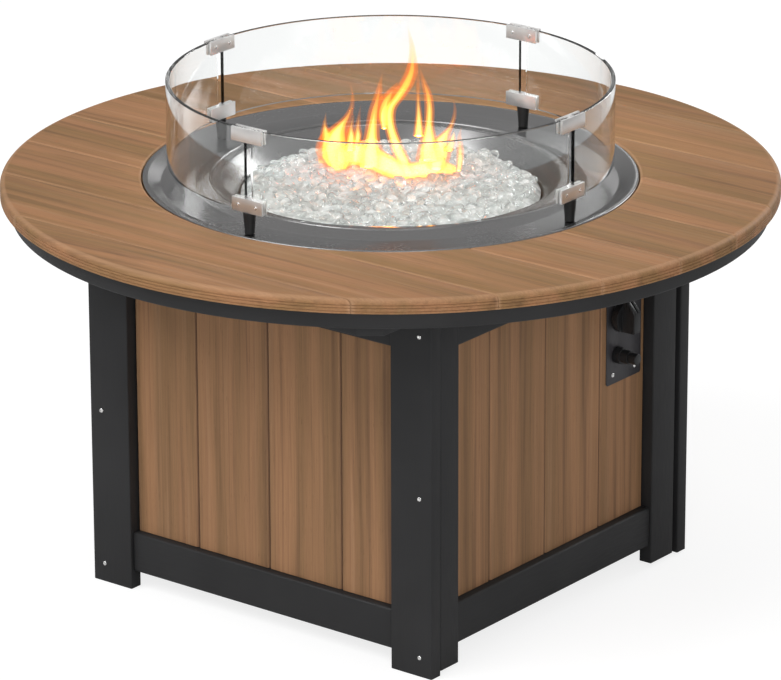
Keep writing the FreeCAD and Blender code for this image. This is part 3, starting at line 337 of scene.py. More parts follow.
def wood(name, grain, across, seam, pitch, tones, figure, split=0.0):
    """Wood-look lumber: wavering bands of two tones, streaks, fibre, pores and painted edge
    highlights.

    The figure is the bands' scale, how far they waver, how strong the streaks are, how strong
    the painted edge highlight is, and how dark the joints.
    """
    warm, olive, dark, light = tones
    band_scale, waver_width, strength, edge_highlight_share, joint_share = figure
    surface = Surface(name, warm, 0.6, Specular_IOR_Level=0.15)
    place = surface.place()
    cell, edge = board_cells(surface, place, across, seam, pitch, split)
    random_of = surface.node("ShaderNodeTexWhiteNoise", {"W": cell}, noise_dimensions="1D")
    moved = surface.vector("MULTIPLY_ADD", random_of.outputs["Color"], (7.0, 5.0, 3.0), place)
    slow = surface.vector("MULTIPLY", moved, axis_scale(grain, 1.6, 5.0))
    waver = surface.node("ShaderNodeTexNoise", {"Vector": slow, "Scale": 1.0}).outputs["Color"]
    wave = surface.vector("SUBTRACT", waver, (0.5, 0.5, 0.5))
    moved = surface.vector("MULTIPLY_ADD", wave, axis_scale(grain, 0.0, waver_width), moved)

    def drawn(along, thick, detail, rough):
        scaled = surface.vector("MULTIPLY", moved, axis_scale(grain, along, thick))
        return surface.noise(scaled, 1.0, detail, rough)

    band = drawn(0.8, band_scale, 2.0, 0.5)
    streak = drawn(0.9, band_scale * 2.2, 3.0, 0.55)
    line = drawn(2.2, 190.0, 2.0, 0.5)
    fibre = drawn(9.0, 420.0, 3.0, 0.6)
    pore = drawn(60.0, 900.0, 1.0, 0.5)
    colour = surface.mix(surface.stretch(band, 0.38, 0.60), warm, olive)
    colour = surface.mix(surface.stretch(streak, 0.54, 0.74, 0.0, strength), colour, dark)
    colour = surface.mix(surface.stretch(streak, 0.42, 0.26, 0.0, strength * 0.55), colour, light)
    colour = surface.mix(surface.stretch(line, 0.56, 0.74, 0.0, strength * 0.5), colour, dark)
    # Painted highlight: a paler tone within a few millimetres of each board edge, standing in for
    # light caught by the eased edges.
    colour = surface.mix(surface.stretch(edge, 0.0045, 0.0015, 0.0, edge_highlight_share), colour, light)
    colour = surface.mix(surface.stretch(edge, 0.0021, 0.0013, 0.0, joint_share), colour, dark)
    shade = surface.stretch(fibre, 0.3, 0.7, 0.88, 1.1)
    tone = surface.stretch(random_of.outputs["Value"], 0.0, 1.0, 0.93, 1.06)
    shade = surface.math("MULTIPLY", shade, tone)
    shade = surface.math("MULTIPLY", shade, surface.stretch(pore, 0.66, 0.8, 1.0, 0.74))
    grey = surface.node("ShaderNodeCombineColor", {0: shade, 1: shade, 2: shade}).outputs[0]
    colour = surface.mix(1.0, colour, grey, "MULTIPLY")
    surface.link(colour, "Base Color")
    surface.link(surface.stretch(fibre, 0.3, 0.7, 0.5, 0.68), "Roughness")
    surface.bump(surface.math("ADD", fibre, surface.math("MULTIPLY", pore, 0.6)), 0.25, 0.0004)
    return surface.material


def polymer(name, colour, roughness, grain="Z", texture=0.2):
    """Solid-coloured lumber or moulding with a faint drawn texture and rubbed patches."""
    surface = Surface(name, colour, roughness, Specular_IOR_Level=0.28)
    place = surface.place()
    scaled = surface.vector("MULTIPLY", place, axis_scale(grain, 30.0, 520.0))
    drawn = surface.noise(scaled, 1.0, 2.0, 0.5)
    grains = surface.noise(place, 900.0, 2.0, 0.6)
    cloud = surface.noise(place, 7.0, 2.0, 0.5)
    share = surface.stretch(cloud, 0.3, 0.7)
    darker = tuple(c * 0.86 for c in colour)
    paler = tuple(c * 1.16 for c in colour)
    base = surface.mix(share, darker, paler)
    speckle = surface.stretch(drawn, 0.3, 0.7, 0.93, 1.07)
    grey = surface.node("ShaderNodeCombineColor", {0: speckle, 1: speckle, 2: speckle}).outputs[0]
    surface.link(surface.mix(1.0, base, grey, "MULTIPLY"), "Base Color")
    low, high = roughness - 0.07, roughness + 0.08
    surface.link(surface.stretch(drawn, 0.3, 0.7, low, high), "Roughness")
    surface.bump(surface.math("ADD", drawn, grains), texture, 0.0003)
    return surface.material


def brushed_round(name, colour, roughness):
    """Satin sheet steel, finely brushed in circles about the Z axis."""
    surface = Surface(name, colour, roughness, 1.0, Anisotropic=0.15)
    place = surface.place()
    parts = surface.node("ShaderNodeSeparateXYZ", {0: place}).outputs
    flat = surface.node("ShaderNodeCombineXYZ", {0: parts["X"], 1: parts["Y"], 2: 0.0}).outputs[0]
    radius = surface.node("ShaderNodeVectorMath", {0: flat}, operation="LENGTH").outputs["Value"]
    turn = surface.math("ARCTAN2", parts["Y"], parts["X"])
    line = surface.node("ShaderNodeCombineXYZ", {0: radius, 1: turn, 2: parts["Z"]}).outputs[0]
    fine = surface.noise(surface.vector("MULTIPLY", line, (700.0, 40.0, 700.0)), 1.0, 2.0, 0.6)
    smudge = surface.noise(place, 7.0, 3.0, 0.55)
    darker = tuple(c * 0.97 for c in colour)
    paler = tuple(c * 1.03 for c in colour)
    surface.link(surface.mix(surface.stretch(fine, 0.3, 0.7), darker, paler), "Base Color")
    patch = surface.stretch(smudge, 0.35, 0.65, -0.01, 0.012)
    rough = surface.stretch(fine, 0.3, 0.7, roughness - 0.008, roughness + 0.008)
    surface.link(surface.math("ADD", rough, patch), "Roughness")
    tangent = surface.node("ShaderNodeTangent", direction_type="RADIAL", axis="Z").outputs[0]
    surface.link(tangent, "Tangent")
    surface.bump(fine, 0.004, 0.0001)
    return surface.material


def metal(name, colour, roughness, scale=240.0, spread=0.08, texture=0.08):
    """Cast, drawn or plated metal with fine uneven gloss."""
    surface = Surface(name, colour, roughness, 1.0)
    place = surface.place()
    grains = surface.noise(place, scale, 3.0, 0.6)
    cloud = surface.noise(place, 22.0, 2.0, 0.5)
    darker = tuple(c * 0.9 for c in colour)
    paler = tuple(min(1.0, c * 1.08) for c in colour)
    surface.link(surface.mix(surface.stretch(cloud, 0.3, 0.7), darker, paler), "Base Color")
    rough = surface.stretch(grains, 0.3, 0.7, roughness - spread, roughness + spread)
    patch = surface.stretch(cloud, 0.3, 0.7, -0.03, 0.03)
    surface.link(surface.math("ADD", rough, patch), "Roughness")
    surface.bump(grains, texture, 0.0002)
    return surface.material


def clear_glass(name, tint, ripple):
    """Tempered glass that lets lamp light through to what it covers."""
    surface = Surface(name, tint, 0.0, Transmission_Weight=1.0, IOR=1.5)
    place = surface.place()
    wave = surface.noise(place, 6.0, 1.0, 0.4)
    surface.bump(wave, ripple, 0.0006)
    haze = surface.noise(place, 40.0, 3.0, 0.6)
    surface.link(surface.stretch(haze, 0.45, 0.8, 0.0, 0.04), "Roughness")
    lets_light_through(surface, tint)
    return surface.material


def nugget_glass(name, clearness, colours):
    """Fire glass: clear drops with milky cores, which let lamp light through to one another."""
    surface = Surface(name, colours[1], 0.04, Transmission_Weight=clearness, IOR=1.5)
    place = surface.place()
    cloud = surface.noise(place, 70.0, 2.0, 0.5)
    surface.link(surface.mix(surface.stretch(cloud, 0.38, 0.62), *colours), "Base Color")
    haze = surface.noise(place, 160.0, 2.0, 0.5)
    surface.link(surface.stretch(haze, 0.4, 0.7, 0.0, 0.06), "Roughness")
    surface.bump(surface.noise(place, 90.0, 1.0, 0.4), 0.2, 0.002)
    lets_light_through(surface, (0.8, 0.8, 0.8))
    return surface.material


def lets_light_through(surface, share):
    """Lamp light passes the surface instead of being stopped by it."""
    clear = surface.node("ShaderNodeBsdfTransparent", {"Color": (*share, 1)}).outputs[0]
    shadow = surface.node("ShaderNodeLightPath").outputs["Is Shadow Ray"]
    links = {0: shadow, 1: surface.shader.outputs[0], 2: clear}
    mixed = surface.node("ShaderNodeMixShader", links).outputs[0]
    surface.tree.links.new(mixed, surface.tree.nodes["Material Output"].inputs[0])


# Tones: warm, olive, dark streak and pale; the pale tone serves both the light streaks and the
# painted edge highlight.
TOP_TONES = (
    (0.400, 0.202, 0.098),
    (0.300, 0.168, 0.074),
    (0.165, 0.090, 0.046),
    (0.520, 0.305, 0.175),
)
# Figures: band scale, waver, streak strength, painted edge highlight, joint darkness.
TOP_FIGURE = (25.0, 0.045, 0.68, 0.5, 0.0)
PANEL_TONES = (
    (0.385, 0.205, 0.105),
    (0.285, 0.160, 0.080),
    (0.130, 0.070, 0.044),
    (0.480, 0.285, 0.165),
)
PANEL_FIGURE = (26.0, 0.012, 0.75, 0.25, 0.75)
TOP_WOOD = wood(
    "top_lumber", "X", "Y", -TOP_PITCH / 2, TOP_PITCH, TOP_TONES, TOP_FIGURE, 2.5 * TOP_PITCH
)
FRONT_WOOD = wood("front_lumber", "Z", "X", FRONT_SEAM, PANEL_PITCH, PANEL_TONES, PANEL_FIGURE)
SIDE_WOOD = wood("side_lumber", "Z", "Y", SIDE_SEAM, PANEL_PITCH, PANEL_TONES, PANEL_FIGURE)
DOOR_WOOD = wood("door_lumber", "Z", "X", DOOR_SEAM, PANEL_PITCH, PANEL_TONES, PANEL_FIGURE)
UPRIGHT_BLACK = polymer("black_lumber_upright", (0.024, 0.024, 0.025), 0.55, "Z")
CROSS_BLACK_X = polymer("black_lumber_cross", (0.024, 0.024, 0.025), 0.55, "X")
CROSS_BLACK_Y = polymer("black_lumber_side", (0.024, 0.024, 0.025), 0.55, "Y")
PAN_STEEL = brushed_round("pan_steel", (0.215, 0.212, 0.212), 0.26)
CLEAR_GLASS = clear_glass("guard_glass", (0.97, 0.985, 0.98), 0.02)
NUGGET_GLASS = nugget_glass("fire_glass_clear", 0.9, ((0.92, 0.94, 0.93), (1.0, 1.0, 0.99)))
MILKY_GLASS = nugget_glass("fire_glass_milky", 0.1, ((0.50, 0.52, 0.51), (0.90, 0.91, 0.90)))
CLIP_METAL = metal("clip_metal", (0.88, 0.87, 0.86), 0.42)
SCREW_STEEL = metal("screw_steel", (0.78, 0.78, 0.77), 0.2)
HINGE_STEEL = metal("hinge_steel", (0.55, 0.55, 0.54), 0.32)
TUBE_METAL = metal("tube_aluminium", (0.70, 0.70, 0.69), 0.3)
BRASS = metal("valve_brass", (0.72, 0.52, 0.24), 0.3)
CERAMIC = polymer("white_ceramic", (0.78, 0.77, 0.74), 0.35, "Z", 0.05)
PLATE_PAINT = polymer("plate_paint", (0.046, 0.044, 0.048), 0.42, "Z", 0.1)
BLACK_PLASTIC = polymer("black_plastic", (0.016, 0.016, 0.017), 0.32, "Z", 0.08)
FOOT_RUBBER = polymer("foot_rubber", (0.014, 0.014, 0.014), 0.5, "Z", 0.15)


def body_of(node):
    return NODES[node]["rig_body"]


def finish_piece(piece, material, nodes, body=None):
    """Give a piece its material and its body, and hide the CAD nodes that it stands for."""
    piece.data.materials.clear()
    piece.data.materials.append(material)
    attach(piece, body or body_of(nodes[0]))
    if nodes:
        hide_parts(*nodes)


def piece_from(shape, name, material, nodes, body=None, smooth=32):
    """Turn a bmesh into a piece, smooth except at corners sharper than an angle."""
    bmesh.ops.recalc_face_normals(shape, faces=shape.faces)
    for face in shape.faces:
        face.smooth = True
    for edge in shape.edges:
        edge.smooth = len(edge.link_faces) != 2 or edge.calc_face_angle() < radians(smooth)
    mesh = bpy.data.meshes.new(name)
    shape.to_mesh(mesh)
    shape.free()
    finish_piece(add_object(name, mesh), material, nodes, body)


def solid_of(node):
    """A node's shape with its flat faces whole again."""
    shape = bmesh.new()
    shape.from_mesh(NODES[node].data)
    bmesh.ops.remove_doubles(shape, verts=shape.verts, dist=1e-6)
    bmesh.ops.dissolve_limit(shape, angle_limit=radians(0.4), verts=shape.verts, edges=shape.edges)
    return shape


def softened(node, material, width, segments=2, corner=30):
    """A node's shape with every sharp edge rounded."""
    shape = solid_of(node)
    sharp = [
        edge
        for edge in shape.edges
        if len(edge.link_faces) == 2 and edge.calc_face_angle() > radians(corner)
    ]
    bmesh.ops.bevel(
        shape,
        geom=sharp,
        offset=width,
        segments=segments,
        profile=0.5,
        affect="EDGES",
        clamp_overlap=True,
    )
    piece_from(shape, node + "_finished", material, [node])


def islands(node):
    """Lowest and highest corner of each separate solid in a node."""
    shape = bmesh.new()
    shape.from_mesh(NODES[node].data)
    bmesh.ops.remove_doubles(shape, verts=shape.verts, dist=1e-6)
    seen = set()
    boxes = []
    for first in shape.verts:
        if first in seen:
            continue
        seen.add(first)
        queue = [first]
        members = []
        while queue:
            vertex = queue.pop()
            members.append(vertex.co.copy())
            for edge in vertex.link_edges:
                other = edge.other_vert(vertex)
                if other not in seen:
                    seen.add(other)
                    queue.append(other)
        low = Vector([min(co[axis] for co in members) for axis in range(3)])
        high = Vector([max(co[axis] for co in members) for axis in range(3)])
        boxes.append((low, high))
    shape.free()
    return boxes


def arc(centre, radius, start, end, steps):
    """Points on an arc in a lathe profile, as (radius, height); angles in degrees."""
    turns = [radians(start + (end - start) * i / steps) for i in range(steps + 1)]
    return [(centre[0] + radius * cos(t), centre[1] + radius * sin(t)) for t in turns]


def lathe(profile, steps, closed=True):
    """Turn a profile of (radius, height) points about the Z axis."""
    shape = bmesh.new()
    rings = []
    for radius, height in profile:
        if radius < 1e-7:
            rings.append([shape.verts.new((0, 0, height))] * steps)
            continue
        turns = [tau * i / steps for i in range(steps)]
        rings.append([shape.verts.new((radius * cos(t), radius * sin(t), height)) for t in turns])
    pairs = list(zip(rings, rings[1:]))
    if closed:
        pairs.append((rings[-1], rings[0]))
    for first, second in pairs:
        for i in range(steps):
            j = (i + 1) % steps
            corners = []
            for vertex in (first[i], first[j], second[j], second[i]):
                if vertex not in corners:
                    corners.append(vertex)
            if len(corners) > 2:
                shape.faces.new(corners)
    return shape


def rounded(points, radius, steps=4):
    """A profile with its corners rounded where the runs beside them allow it."""
    result = []
    count = len(points)
    for i in range(count):
        before, here, after = (Vector(points[(i + k) % count]) for k in (-1, 0, 1))
        back, ahead = before - here, after - here
        if back.length < 1e-9 or ahead.length < 1e-9:
            continue
        reach = min(radius, back.length * 0.45, ahead.length * 0.45)
        start = here + back.normalized() * reach
        end = here + ahead.normalized() * reach
        for k in range(steps + 1):
            t = k / steps
            result.append(tuple(start * (1 - t) ** 2 + here * (2 * t * (1 - t)) + end * t**2))
    return result


def groove(depth):
    """A V groove round the rim, at a depth below the table's upper face."""
    z = TABLE_HEIGHT - depth
    half = GROOVE_WIDTH / 2
    return [
        (TOP_RADIUS, z + half),
        (TOP_RADIUS - GROOVE_CUT, z),
        (TOP_RADIUS, z - half),
    ]


def top_disc():
    """The round top before it is divided: rounded, grooved rim and an eased opening."""
    rim = arc((TOP_RADIUS - RIM_ROUND, TABLE_HEIGHT - RIM_ROUND), RIM_ROUND, 90, 0, 8)
    grooves = [point for depth in GROOVE_DEPTHS for point in groove(depth)]
    foot = arc((TOP_RADIUS - 0.001, TOP_LOW + 0.001), 0.001, 0, -90, 2)
    opening = arc((HOLE_RADIUS + 0.003, TABLE_HEIGHT - 0.003), 0.003, 180, 90, 4)
    profile = rim + grooves + foot + [(HOLE_RADIUS, TOP_LOW)] + opening
    return lathe(profile, ROUND_TOP_STEPS)


def strip(row):
    """The straight board that one row is cut from, rounded along its upper edges."""
    half = (TOP_PITCH - BOARD_GAP) / 2
    middle = TOP_PITCH * (row - (TOP_ROWS - 1) / 2)
    front, rear = middle - half, middle + half
    low, high = TOP_LOW - 0.001, TABLE_HEIGHT
    section = [(front, low)]
    section += arc((front + SEAM_ROUND, high - SEAM_ROUND), SEAM_ROUND, 180, 90, 3)
    section += arc((rear - SEAM_ROUND, high - SEAM_ROUND), SEAM_ROUND, 90, 0, 3)
    section += [(rear, low)]
    reach = TOP_RADIUS + 0.01
    shape = bmesh.new()
    left = [shape.verts.new((-reach, y, z)) for y, z in section]
    right = [shape.verts.new((reach, y, z)) for y, z in section]
    shape.faces.new(left)
    shape.faces.new(right[::-1])
    for i in range(len(section)):
        j = (i + 1) % len(section)
        shape.faces.new((left[i], left[j], right[j], right[i]))
    bmesh.ops.recalc_face_normals(shape, faces=shape.faces)
    return shape


def loose_object(shape, name):
    mesh = bpy.data.meshes.new(name)
    shape.to_mesh(mesh)
    shape.free()
    return add_object(name, mesh)


def cut_to(first, second):
    """What two solids have in common, as a bmesh. Both are used up."""
    modifier = first.modifiers.new("common", "BOOLEAN")
    modifier.operation = "INTERSECT"
    modifier.solver = "EXACT"
    modifier.object = second
    depsgraph = bpy.context.evaluated_depsgraph_get()
    mesh = bpy.data.meshes.new_from_object(first.evaluated_get(depsgraph))
    shape = bmesh.new()
    shape.from_mesh(mesh)
    for used in (first, second):
        bpy.data.objects.remove(used)
    return shape


def top_boards():
    """Nine rows of boards with a grooved, rounded rim."""
    for row in range(TOP_ROWS):
        disc = top_disc()
        bmesh.ops.recalc_face_normals(disc, faces=disc.faces)
        blank = loose_object(strip(row), "strip")
        shape = cut_to(loose_object(disc, "disc"), blank)
        node = f"top_board_{row + 1}"
        piece_from(shape, node + "_plank", TOP_WOOD, [node], smooth=24)


def top_ring():
    """Black ring under the top with a rounded lower edge."""
    low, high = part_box("top_ring")
    inner = 0.350
    outer = high.x
    profile = arc((outer - 0.003, low.z + 0.003), 0.003, -90, 0, 5)
    profile += [(outer, high.z), (inner, high.z), (inner, low.z)]
    piece_from(lathe(profile, ROUND_TOP_STEPS), "top_ring_board", CROSS_BLACK_X, ["top_ring"])


def burner_pan():
    """Drop-in pan of thin sheet: rolled rim, sloping dish, bead, lip and well."""
    top = TABLE_HEIGHT
    upper = [
        (PAN_RADIUS, TOP_LOW),
        (PAN_RADIUS, top),
        (0.365, top),
        (0.343, top - 0.010),
        (0.293, top - 0.010),
        (0.2735, top - 0.0024),
        *arc((0.2695, top - 0.0024), 0.0024, 12, 168, 8),
        (0.2655, top - 0.0024),
        (0.2535, top - 0.0020),
        (0.236, top - 0.0205),
        (WELL_RADIUS, top - 0.030),
        (WELL_RADIUS, BOWL_FLOOR),
        (0.0175, BOWL_FLOOR),
    ]
    outline = upper + [
        (radius + (PAN_SHEET if radius == WELL_RADIUS else 0), height - PAN_SHEET)
        for radius, height in upper[:1:-1]
    ]
    outline += [(PAN_RADIUS - PAN_SHEET, top - PAN_SHEET), (PAN_RADIUS - PAN_SHEET, TOP_LOW)]
    profile = rounded(outline, 0.0022, 5)
    piece_from(lathe(profile, PAN_STEPS), "burner_pan_sheet", PAN_STEEL, ["burner_pan"], smooth=40)


def glass_panel(index):
    """One curved panel with polished edges."""
    node = f"glass_panel_{index + 1}"
    low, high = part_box(node)
    outer, inner = GUARD_RADIUS, GUARD_RADIUS - GUARD_THICKNESS
    bevel = GLASS_BEVEL
    section = [
        (inner, low.z + bevel),
        (inner + bevel, low.z),
        (outer - bevel, low.z),
        (outer, low.z + bevel),
        (outer, high.z - bevel),
        (outer - bevel, high.z),
        (inner + bevel, high.z),
        (inner, high.z - bevel),
    ]
    quarter = pi / 2 * (index - 2)
    shape = bmesh.new()
    columns = []
    for i in range(GLASS_STEPS + 1):
        column = []
        for radius, z in section:
            edge = asin(JOINT_HALF_GAP / radius)
            turn = quarter + edge + (pi / 2 - 2 * edge) * i / GLASS_STEPS
            column.append(shape.verts.new((radius * cos(turn), radius * sin(turn), z)))
        columns.append(column)
    count = len(section)
    for first, second in zip(columns, columns[1:]):
        for i in range(count):
            j = (i + 1) % count
            shape.faces.new((first[i], first[j], second[j], second[i]))
    shape.faces.new(columns[0])
    shape.faces.new(columns[-1][::-1])
    piece_from(shape, node + "_curve", CLEAR_GLASS, [node], smooth=25)


def lump_places():
    """Centre and crown height of each lump, in rings about the middle."""
    places = [(0.0, 0.0)]
    for ring in range(1, LUMP_RINGS + 1):
        count = 6 * ring
        reach = LUMP_PITCH * ring
        turns = [tau * i / count for i in range(count)]
        places += [(reach * cos(t), reach * sin(t)) for t in turns]
    return [
        (x, y, HEAP_TOP + LUMP_HEIGHT + LUMP_UNEVEN * sin(2.0 * i))
        for i, (x, y) in enumerate(places)
    ]


LUMPS = lump_places()


def heap_height(x, y):
    """Upper side of the fire glass at a place."""
    radius = sqrt(x * x + y * y)
    slope = (HEAP_TOP - HEAP_EDGE) / (HEAP_RADIUS - HEAP_SHOULDER)
    height = HEAP_TOP - max(0.0, radius - HEAP_SHOULDER) * slope
    for lump_x, lump_y, crown in LUMPS:
        away = sqrt((x - lump_x) ** 2 + (y - lump_y) ** 2)
        if away < LUMP_RADIUS:
            share = (LUMP_RADIUS - away) / (LUMP_RADIUS - LUMP_CROWN_RADIUS)
            foot = HEAP_TOP - LUMP_ROOT
            height = max(height, foot + (crown - foot) * min(1.0, share))
    return height


def nugget_shapes(chooser, count):
    """Flattened, tumbled drops of glass, each with a few soft flats and dents."""
    shapes = []
    for _ in range(count):
        shape = bmesh.new()
        bmesh.ops.create_icosphere(shape, subdivisions=2, radius=1)
        planes = []
        for _ in range(5):
            normal = Vector([chooser.gauss(0, 1) for _ in range(3)]).normalized()
            planes.append((normal, chooser.uniform(0.62, 0.9)))
        dents = [Vector([chooser.gauss(0, 1) for _ in range(3)]).normalized() for _ in range(3)]
        stretch = Vector((1.0, chooser.uniform(0.68, 0.95), chooser.uniform(0.42, 0.7)))
        points = []
        for vertex in shape.verts:
            co = vertex.co.copy()
            for dent in dents:
                co *= 1 - 0.09 * max(0.0, co.dot(dent)) ** 4
            for normal, reach in planes:
                over = co.dot(normal) - reach
                if over > 0:
                    co -= normal * over * 0.85
            points.append(Vector([co[k] * stretch[k] for k in range(3)]))
        faces = [[vertex.index for vertex in face.verts] for face in shape.faces]
        shape.free()
        shapes.append((points, faces))
    return shapes


def fire_glass():
    """Heap of clear nuggets over the burner, on a bed of the same glass."""
    chooser = random.Random(7)
    shapes = nugget_shapes(chooser, 24)
    points, faces = [], []
    pitch = NUGGET_PITCH
    rows = int(HEAP_RADIUS / pitch) + 1
    for layer, drop in enumerate(LAYER_DROPS):
        for i in range(-rows, rows + 1):
            for j in range(-rows, rows + 1):
                x = (i + 0.5 * (j % 2) + 0.5 * layer + chooser.uniform(-0.35, 0.35)) * pitch
                y = (j * 0.87 + 0.5 * layer + chooser.uniform(-0.35, 0.35)) * pitch
                size = chooser.uniform(*NUGGET_SIZES)
                lift = chooser.uniform(-0.0022, 0.0022)
                turn = Matrix.Rotation(chooser.uniform(0, tau), 3, "Z")
                turn = turn @ Matrix.Rotation(chooser.uniform(-0.8, 0.8), 3, "X")
                turn = turn @ Matrix.Rotation(chooser.uniform(-0.8, 0.8), 3, "Y")
                shape_points, shape_faces = shapes[chooser.randrange(len(shapes))]
                if sqrt(x * x + y * y) > HEAP_RADIUS - size:
                    continue
                base = len(points)
                centre = Vector((x, y, heap_height(x, y) - drop + lift))
                points += [centre + turn @ (point * size) for point in shape_points]
                faces += [[base + k for k in face] for face in shape_faces]
    mesh = bpy.data.meshes.new("fire_glass_nuggets")
    mesh.from_pydata([tuple(point) for point in points], [], faces)
    mesh.shade_smooth()
    finish_piece(add_object("fire_glass_nuggets", mesh), NUGGET_GLASS, ["fire_glass"])
    heap_bed()


def heap_bed():
    """What lies under the nuggets: a closed mound that follows the lumps."""
    shape = bmesh.new()
    steps, rings = 144, 36
    low = BOWL_FLOOR + 0.0015
    reach = HEAP_RADIUS - 0.001
    middle = shape.verts.new((0, 0, heap_height(0, 0) - BED_DROP))
    made = []
    for k in range(1, rings + 1):
        radius = reach * k / rings
        ring = []
        for i in range(steps):
            x, y = radius * cos(tau * i / steps), radius * sin(tau * i / steps)
            ring.append(shape.verts.new((x, y, heap_height(x, y) - BED_DROP)))
        made.append(ring)
    made.append([shape.verts.new((vertex.co.x, vertex.co.y, low)) for vertex in made[-1]])
    floor_middle = shape.verts.new((0, 0, low))
    for i in range(steps):
        j = (i + 1) % steps
        shape.faces.new((middle, made[0][i], made[0][j]))
        for first, second in zip(made, made[1:]):
            shape.faces.new((first[i], second[i], second[j], first[j]))
        shape.faces.new((made[-1][i], floor_middle, made[-1][j]))
    piece_from(shape, "fire_glass_bed", MILKY_GLASS, [], "table")


def screw_heads(node, name):
    """Domed heads with a star-shaped socket, one for each solid in a node."""
    shape = bmesh.new()
    for low, high in islands(node):
        size = high - low
        axis = min(range(3), key=lambda k: size[k])
        radius = max(size) / 2
        middle = (low + high) / 2
        out = Vector([0, 0, 0])
        out[axis] = face_side(node, middle, axis)
        base = middle.copy()
        base[axis] -= out[axis] * size[axis] / 2
        one_head(shape, base, out, radius, size[axis])
    piece_from(shape, name, SCREW_STEEL, [node])


def face_side(node, middle, axis):
    """Which way a head points: the clips' upper screws face the middle, all others face out."""
    outward = 1 if middle[axis] > 0 else -1
    if node == "clip_screws" and middle.z > CLIP_MIDDLE_Z:
        return -outward
    return outward


def one_head(shape, base, out, radius, height):
    """A domed head with a six-lobed socket."""
    steps = 36
    across = Vector((0, 0, 1)) if abs(out.z) < 0.5 else Vector((1, 0, 0))
    up = out.cross(across)
    rings = []
    for share, rise in ((1.0, 0.0), (1.0, 0.35), (0.93, 0.62), (0.78, 0.86), (0.55, 0.99)):
        rings.append([(share, rise)] * steps)
    lobes = [0.42 + 0.06 * cos(6 * tau * i / steps) for i in range(steps)]
    rings.append([(lobe, 1.0) for lobe in lobes])
    rings.append([(lobe * 0.95, 0.25) for lobe in lobes])
    rings.append([(0.12, 0.2)] * steps)
    made = []
    for ring in rings:
        points = []
        for i, (share, rise) in enumerate(ring):
            t = tau * i / steps
            side = across * (cos(t) * share * radius) + up * (sin(t) * share * radius)
            points.append(shape.verts.new(base + side + out * (rise * height)))
        made.append(points)
    for first, second in zip(made, made[1:]):
        for i in range(steps):
            j = (i + 1) % steps
            shape.faces.new((first[i], first[j], second[j], second[i]))
    shape.faces.new(made[0][::-1])
    shape.faces.new(made[-1])


def guard_feet():
    """Tapered rubber feet with a rounded sole."""
    shape = bmesh.new()
    for low, high in islands("guard_feet"):
        middle = (low + high) / 2
        upper = (high.x - low.x) / 2
        lower = upper * 0.78
        height = high.z - low.z
        profile = [
            (0, 0),
            (lower * 0.86, 0),
            (lower, 0.0012),
            (lower, 0.004),
            (lower * 0.97, 0.0048),
            (upper * 0.99, height - 0.002),
            (upper * 0.93, height),
            (0, height),
        ]
        part = lathe(profile, 40, closed=False)
        bmesh.ops.translate(part, vec=(middle.x, middle.y, low.z), verts=part.verts)
        mesh = bpy.data.meshes.new("foot")
        part.to_mesh(mesh)
        part.free()
        shape.from_mesh(mesh)
    piece_from(shape, "guard_feet_rubber", FOOT_RUBBER, ["guard_feet"])


def boards():
    """The black lumber of the base, its edges rounded."""
    width = 0.0018
    for node in ("front_leg_left", "front_leg_right", "door_stile_left", "door_stile_right"):
        softened(node, UPRIGHT_BLACK, width, 3)
    for side in ("left", "right"):
        for end in ("front", "rear"):
            softened(f"side_leg_{side}_{end}", UPRIGHT_BLACK, width, 3)
        for level in ("bottom", "top"):
            softened(f"{side}_{level}_rail", CROSS_BLACK_Y, width, 3)
    for node in (
        "front_bottom_rail",
        "front_top_rail",
        "rear_sill",
        "rear_header",
        "door_bottom_rail",
        "door_top_rail",
    ):
        softened(node, CROSS_BLACK_X, width, 3)
    softened("under_battens", CROSS_BLACK_Y, width, 3)
    softened("inner_frame", UPRIGHT_BLACK, 0.001, 2)


def plain_nodes():
    """CAD nodes that keep their own mesh get their finish."""
    finishes = {
        "front_panel": FRONT_WOOD,
        "right_panel": SIDE_WOOD,
        "left_panel": SIDE_WOOD,
        "door_panel": DOOR_WOOD,
        "burner_ring": HINGE_STEEL,
        "air_mixer": BRASS,
        "igniter_electrode": CERAMIC,
        "gas_tube": TUBE_METAL,
        "valve_stem": HINGE_STEEL,
        "hinge_pins": HINGE_STEEL,
    }
    for node, material in finishes.items():
        NODES[node].data.materials.clear()
        NODES[node].data.materials.append(material)


def small_parts():
    """Hardware with its edges broken."""
    softened("guard_clips", CLIP_METAL, 0.0004)
    softened("control_plate", PLATE_PAINT, 0.0005)
    softened("control_knob", BLACK_PLASTIC, 0.0009, 3)
    softened("igniter_body", BLACK_PLASTIC, 0.0008, 3)
    softened("igniter_button", BLACK_PLASTIC, 0.001, 3)
    softened("gas_valve", BRASS, 0.0006)
    softened("stem_collar", BRASS, 0.0004)
    softened("hinge_frame_leaves", HINGE_STEEL, 0.0003)
    softened("hinge_door_leaves", HINGE_STEEL, 0.0003)
    softened("magnetic_catch", BLACK_PLASTIC, 0.001)
    softened("catch_strike", HINGE_STEEL, 0.0003)


def camera():
    data = bpy.data.cameras.new("camera")
    data.sensor_fit = "HORIZONTAL"
    data.sensor_width = SENSOR_WIDTH
    data.lens = CAMERA_LENS
    data.shift_x = CAMERA_SHIFT
    data.clip_end = 100
    made = add_object("camera", data)
    up = CAMERA_RIGHT.cross(CAMERA_FORWARD)
    turn = Matrix((CAMERA_RIGHT, up, -CAMERA_FORWARD)).transposed()
    made.matrix_world = Matrix.Translation(CAMERA_PLACE) @ turn.to_4x4()
    bpy.context.scene.camera = made


def area_light(name, place, target, size, power):
    data = bpy.data.lights.new(name, "AREA")
    data.shape = "RECTANGLE"
    data.size, data.size_y = size
    data.energy = power
    made = add_object(name, data)
    direction = Vector(target) - Vector(place)
    made.rotation_euler = direction.to_track_quat("-Z", "Y").to_euler()
    made.location = place


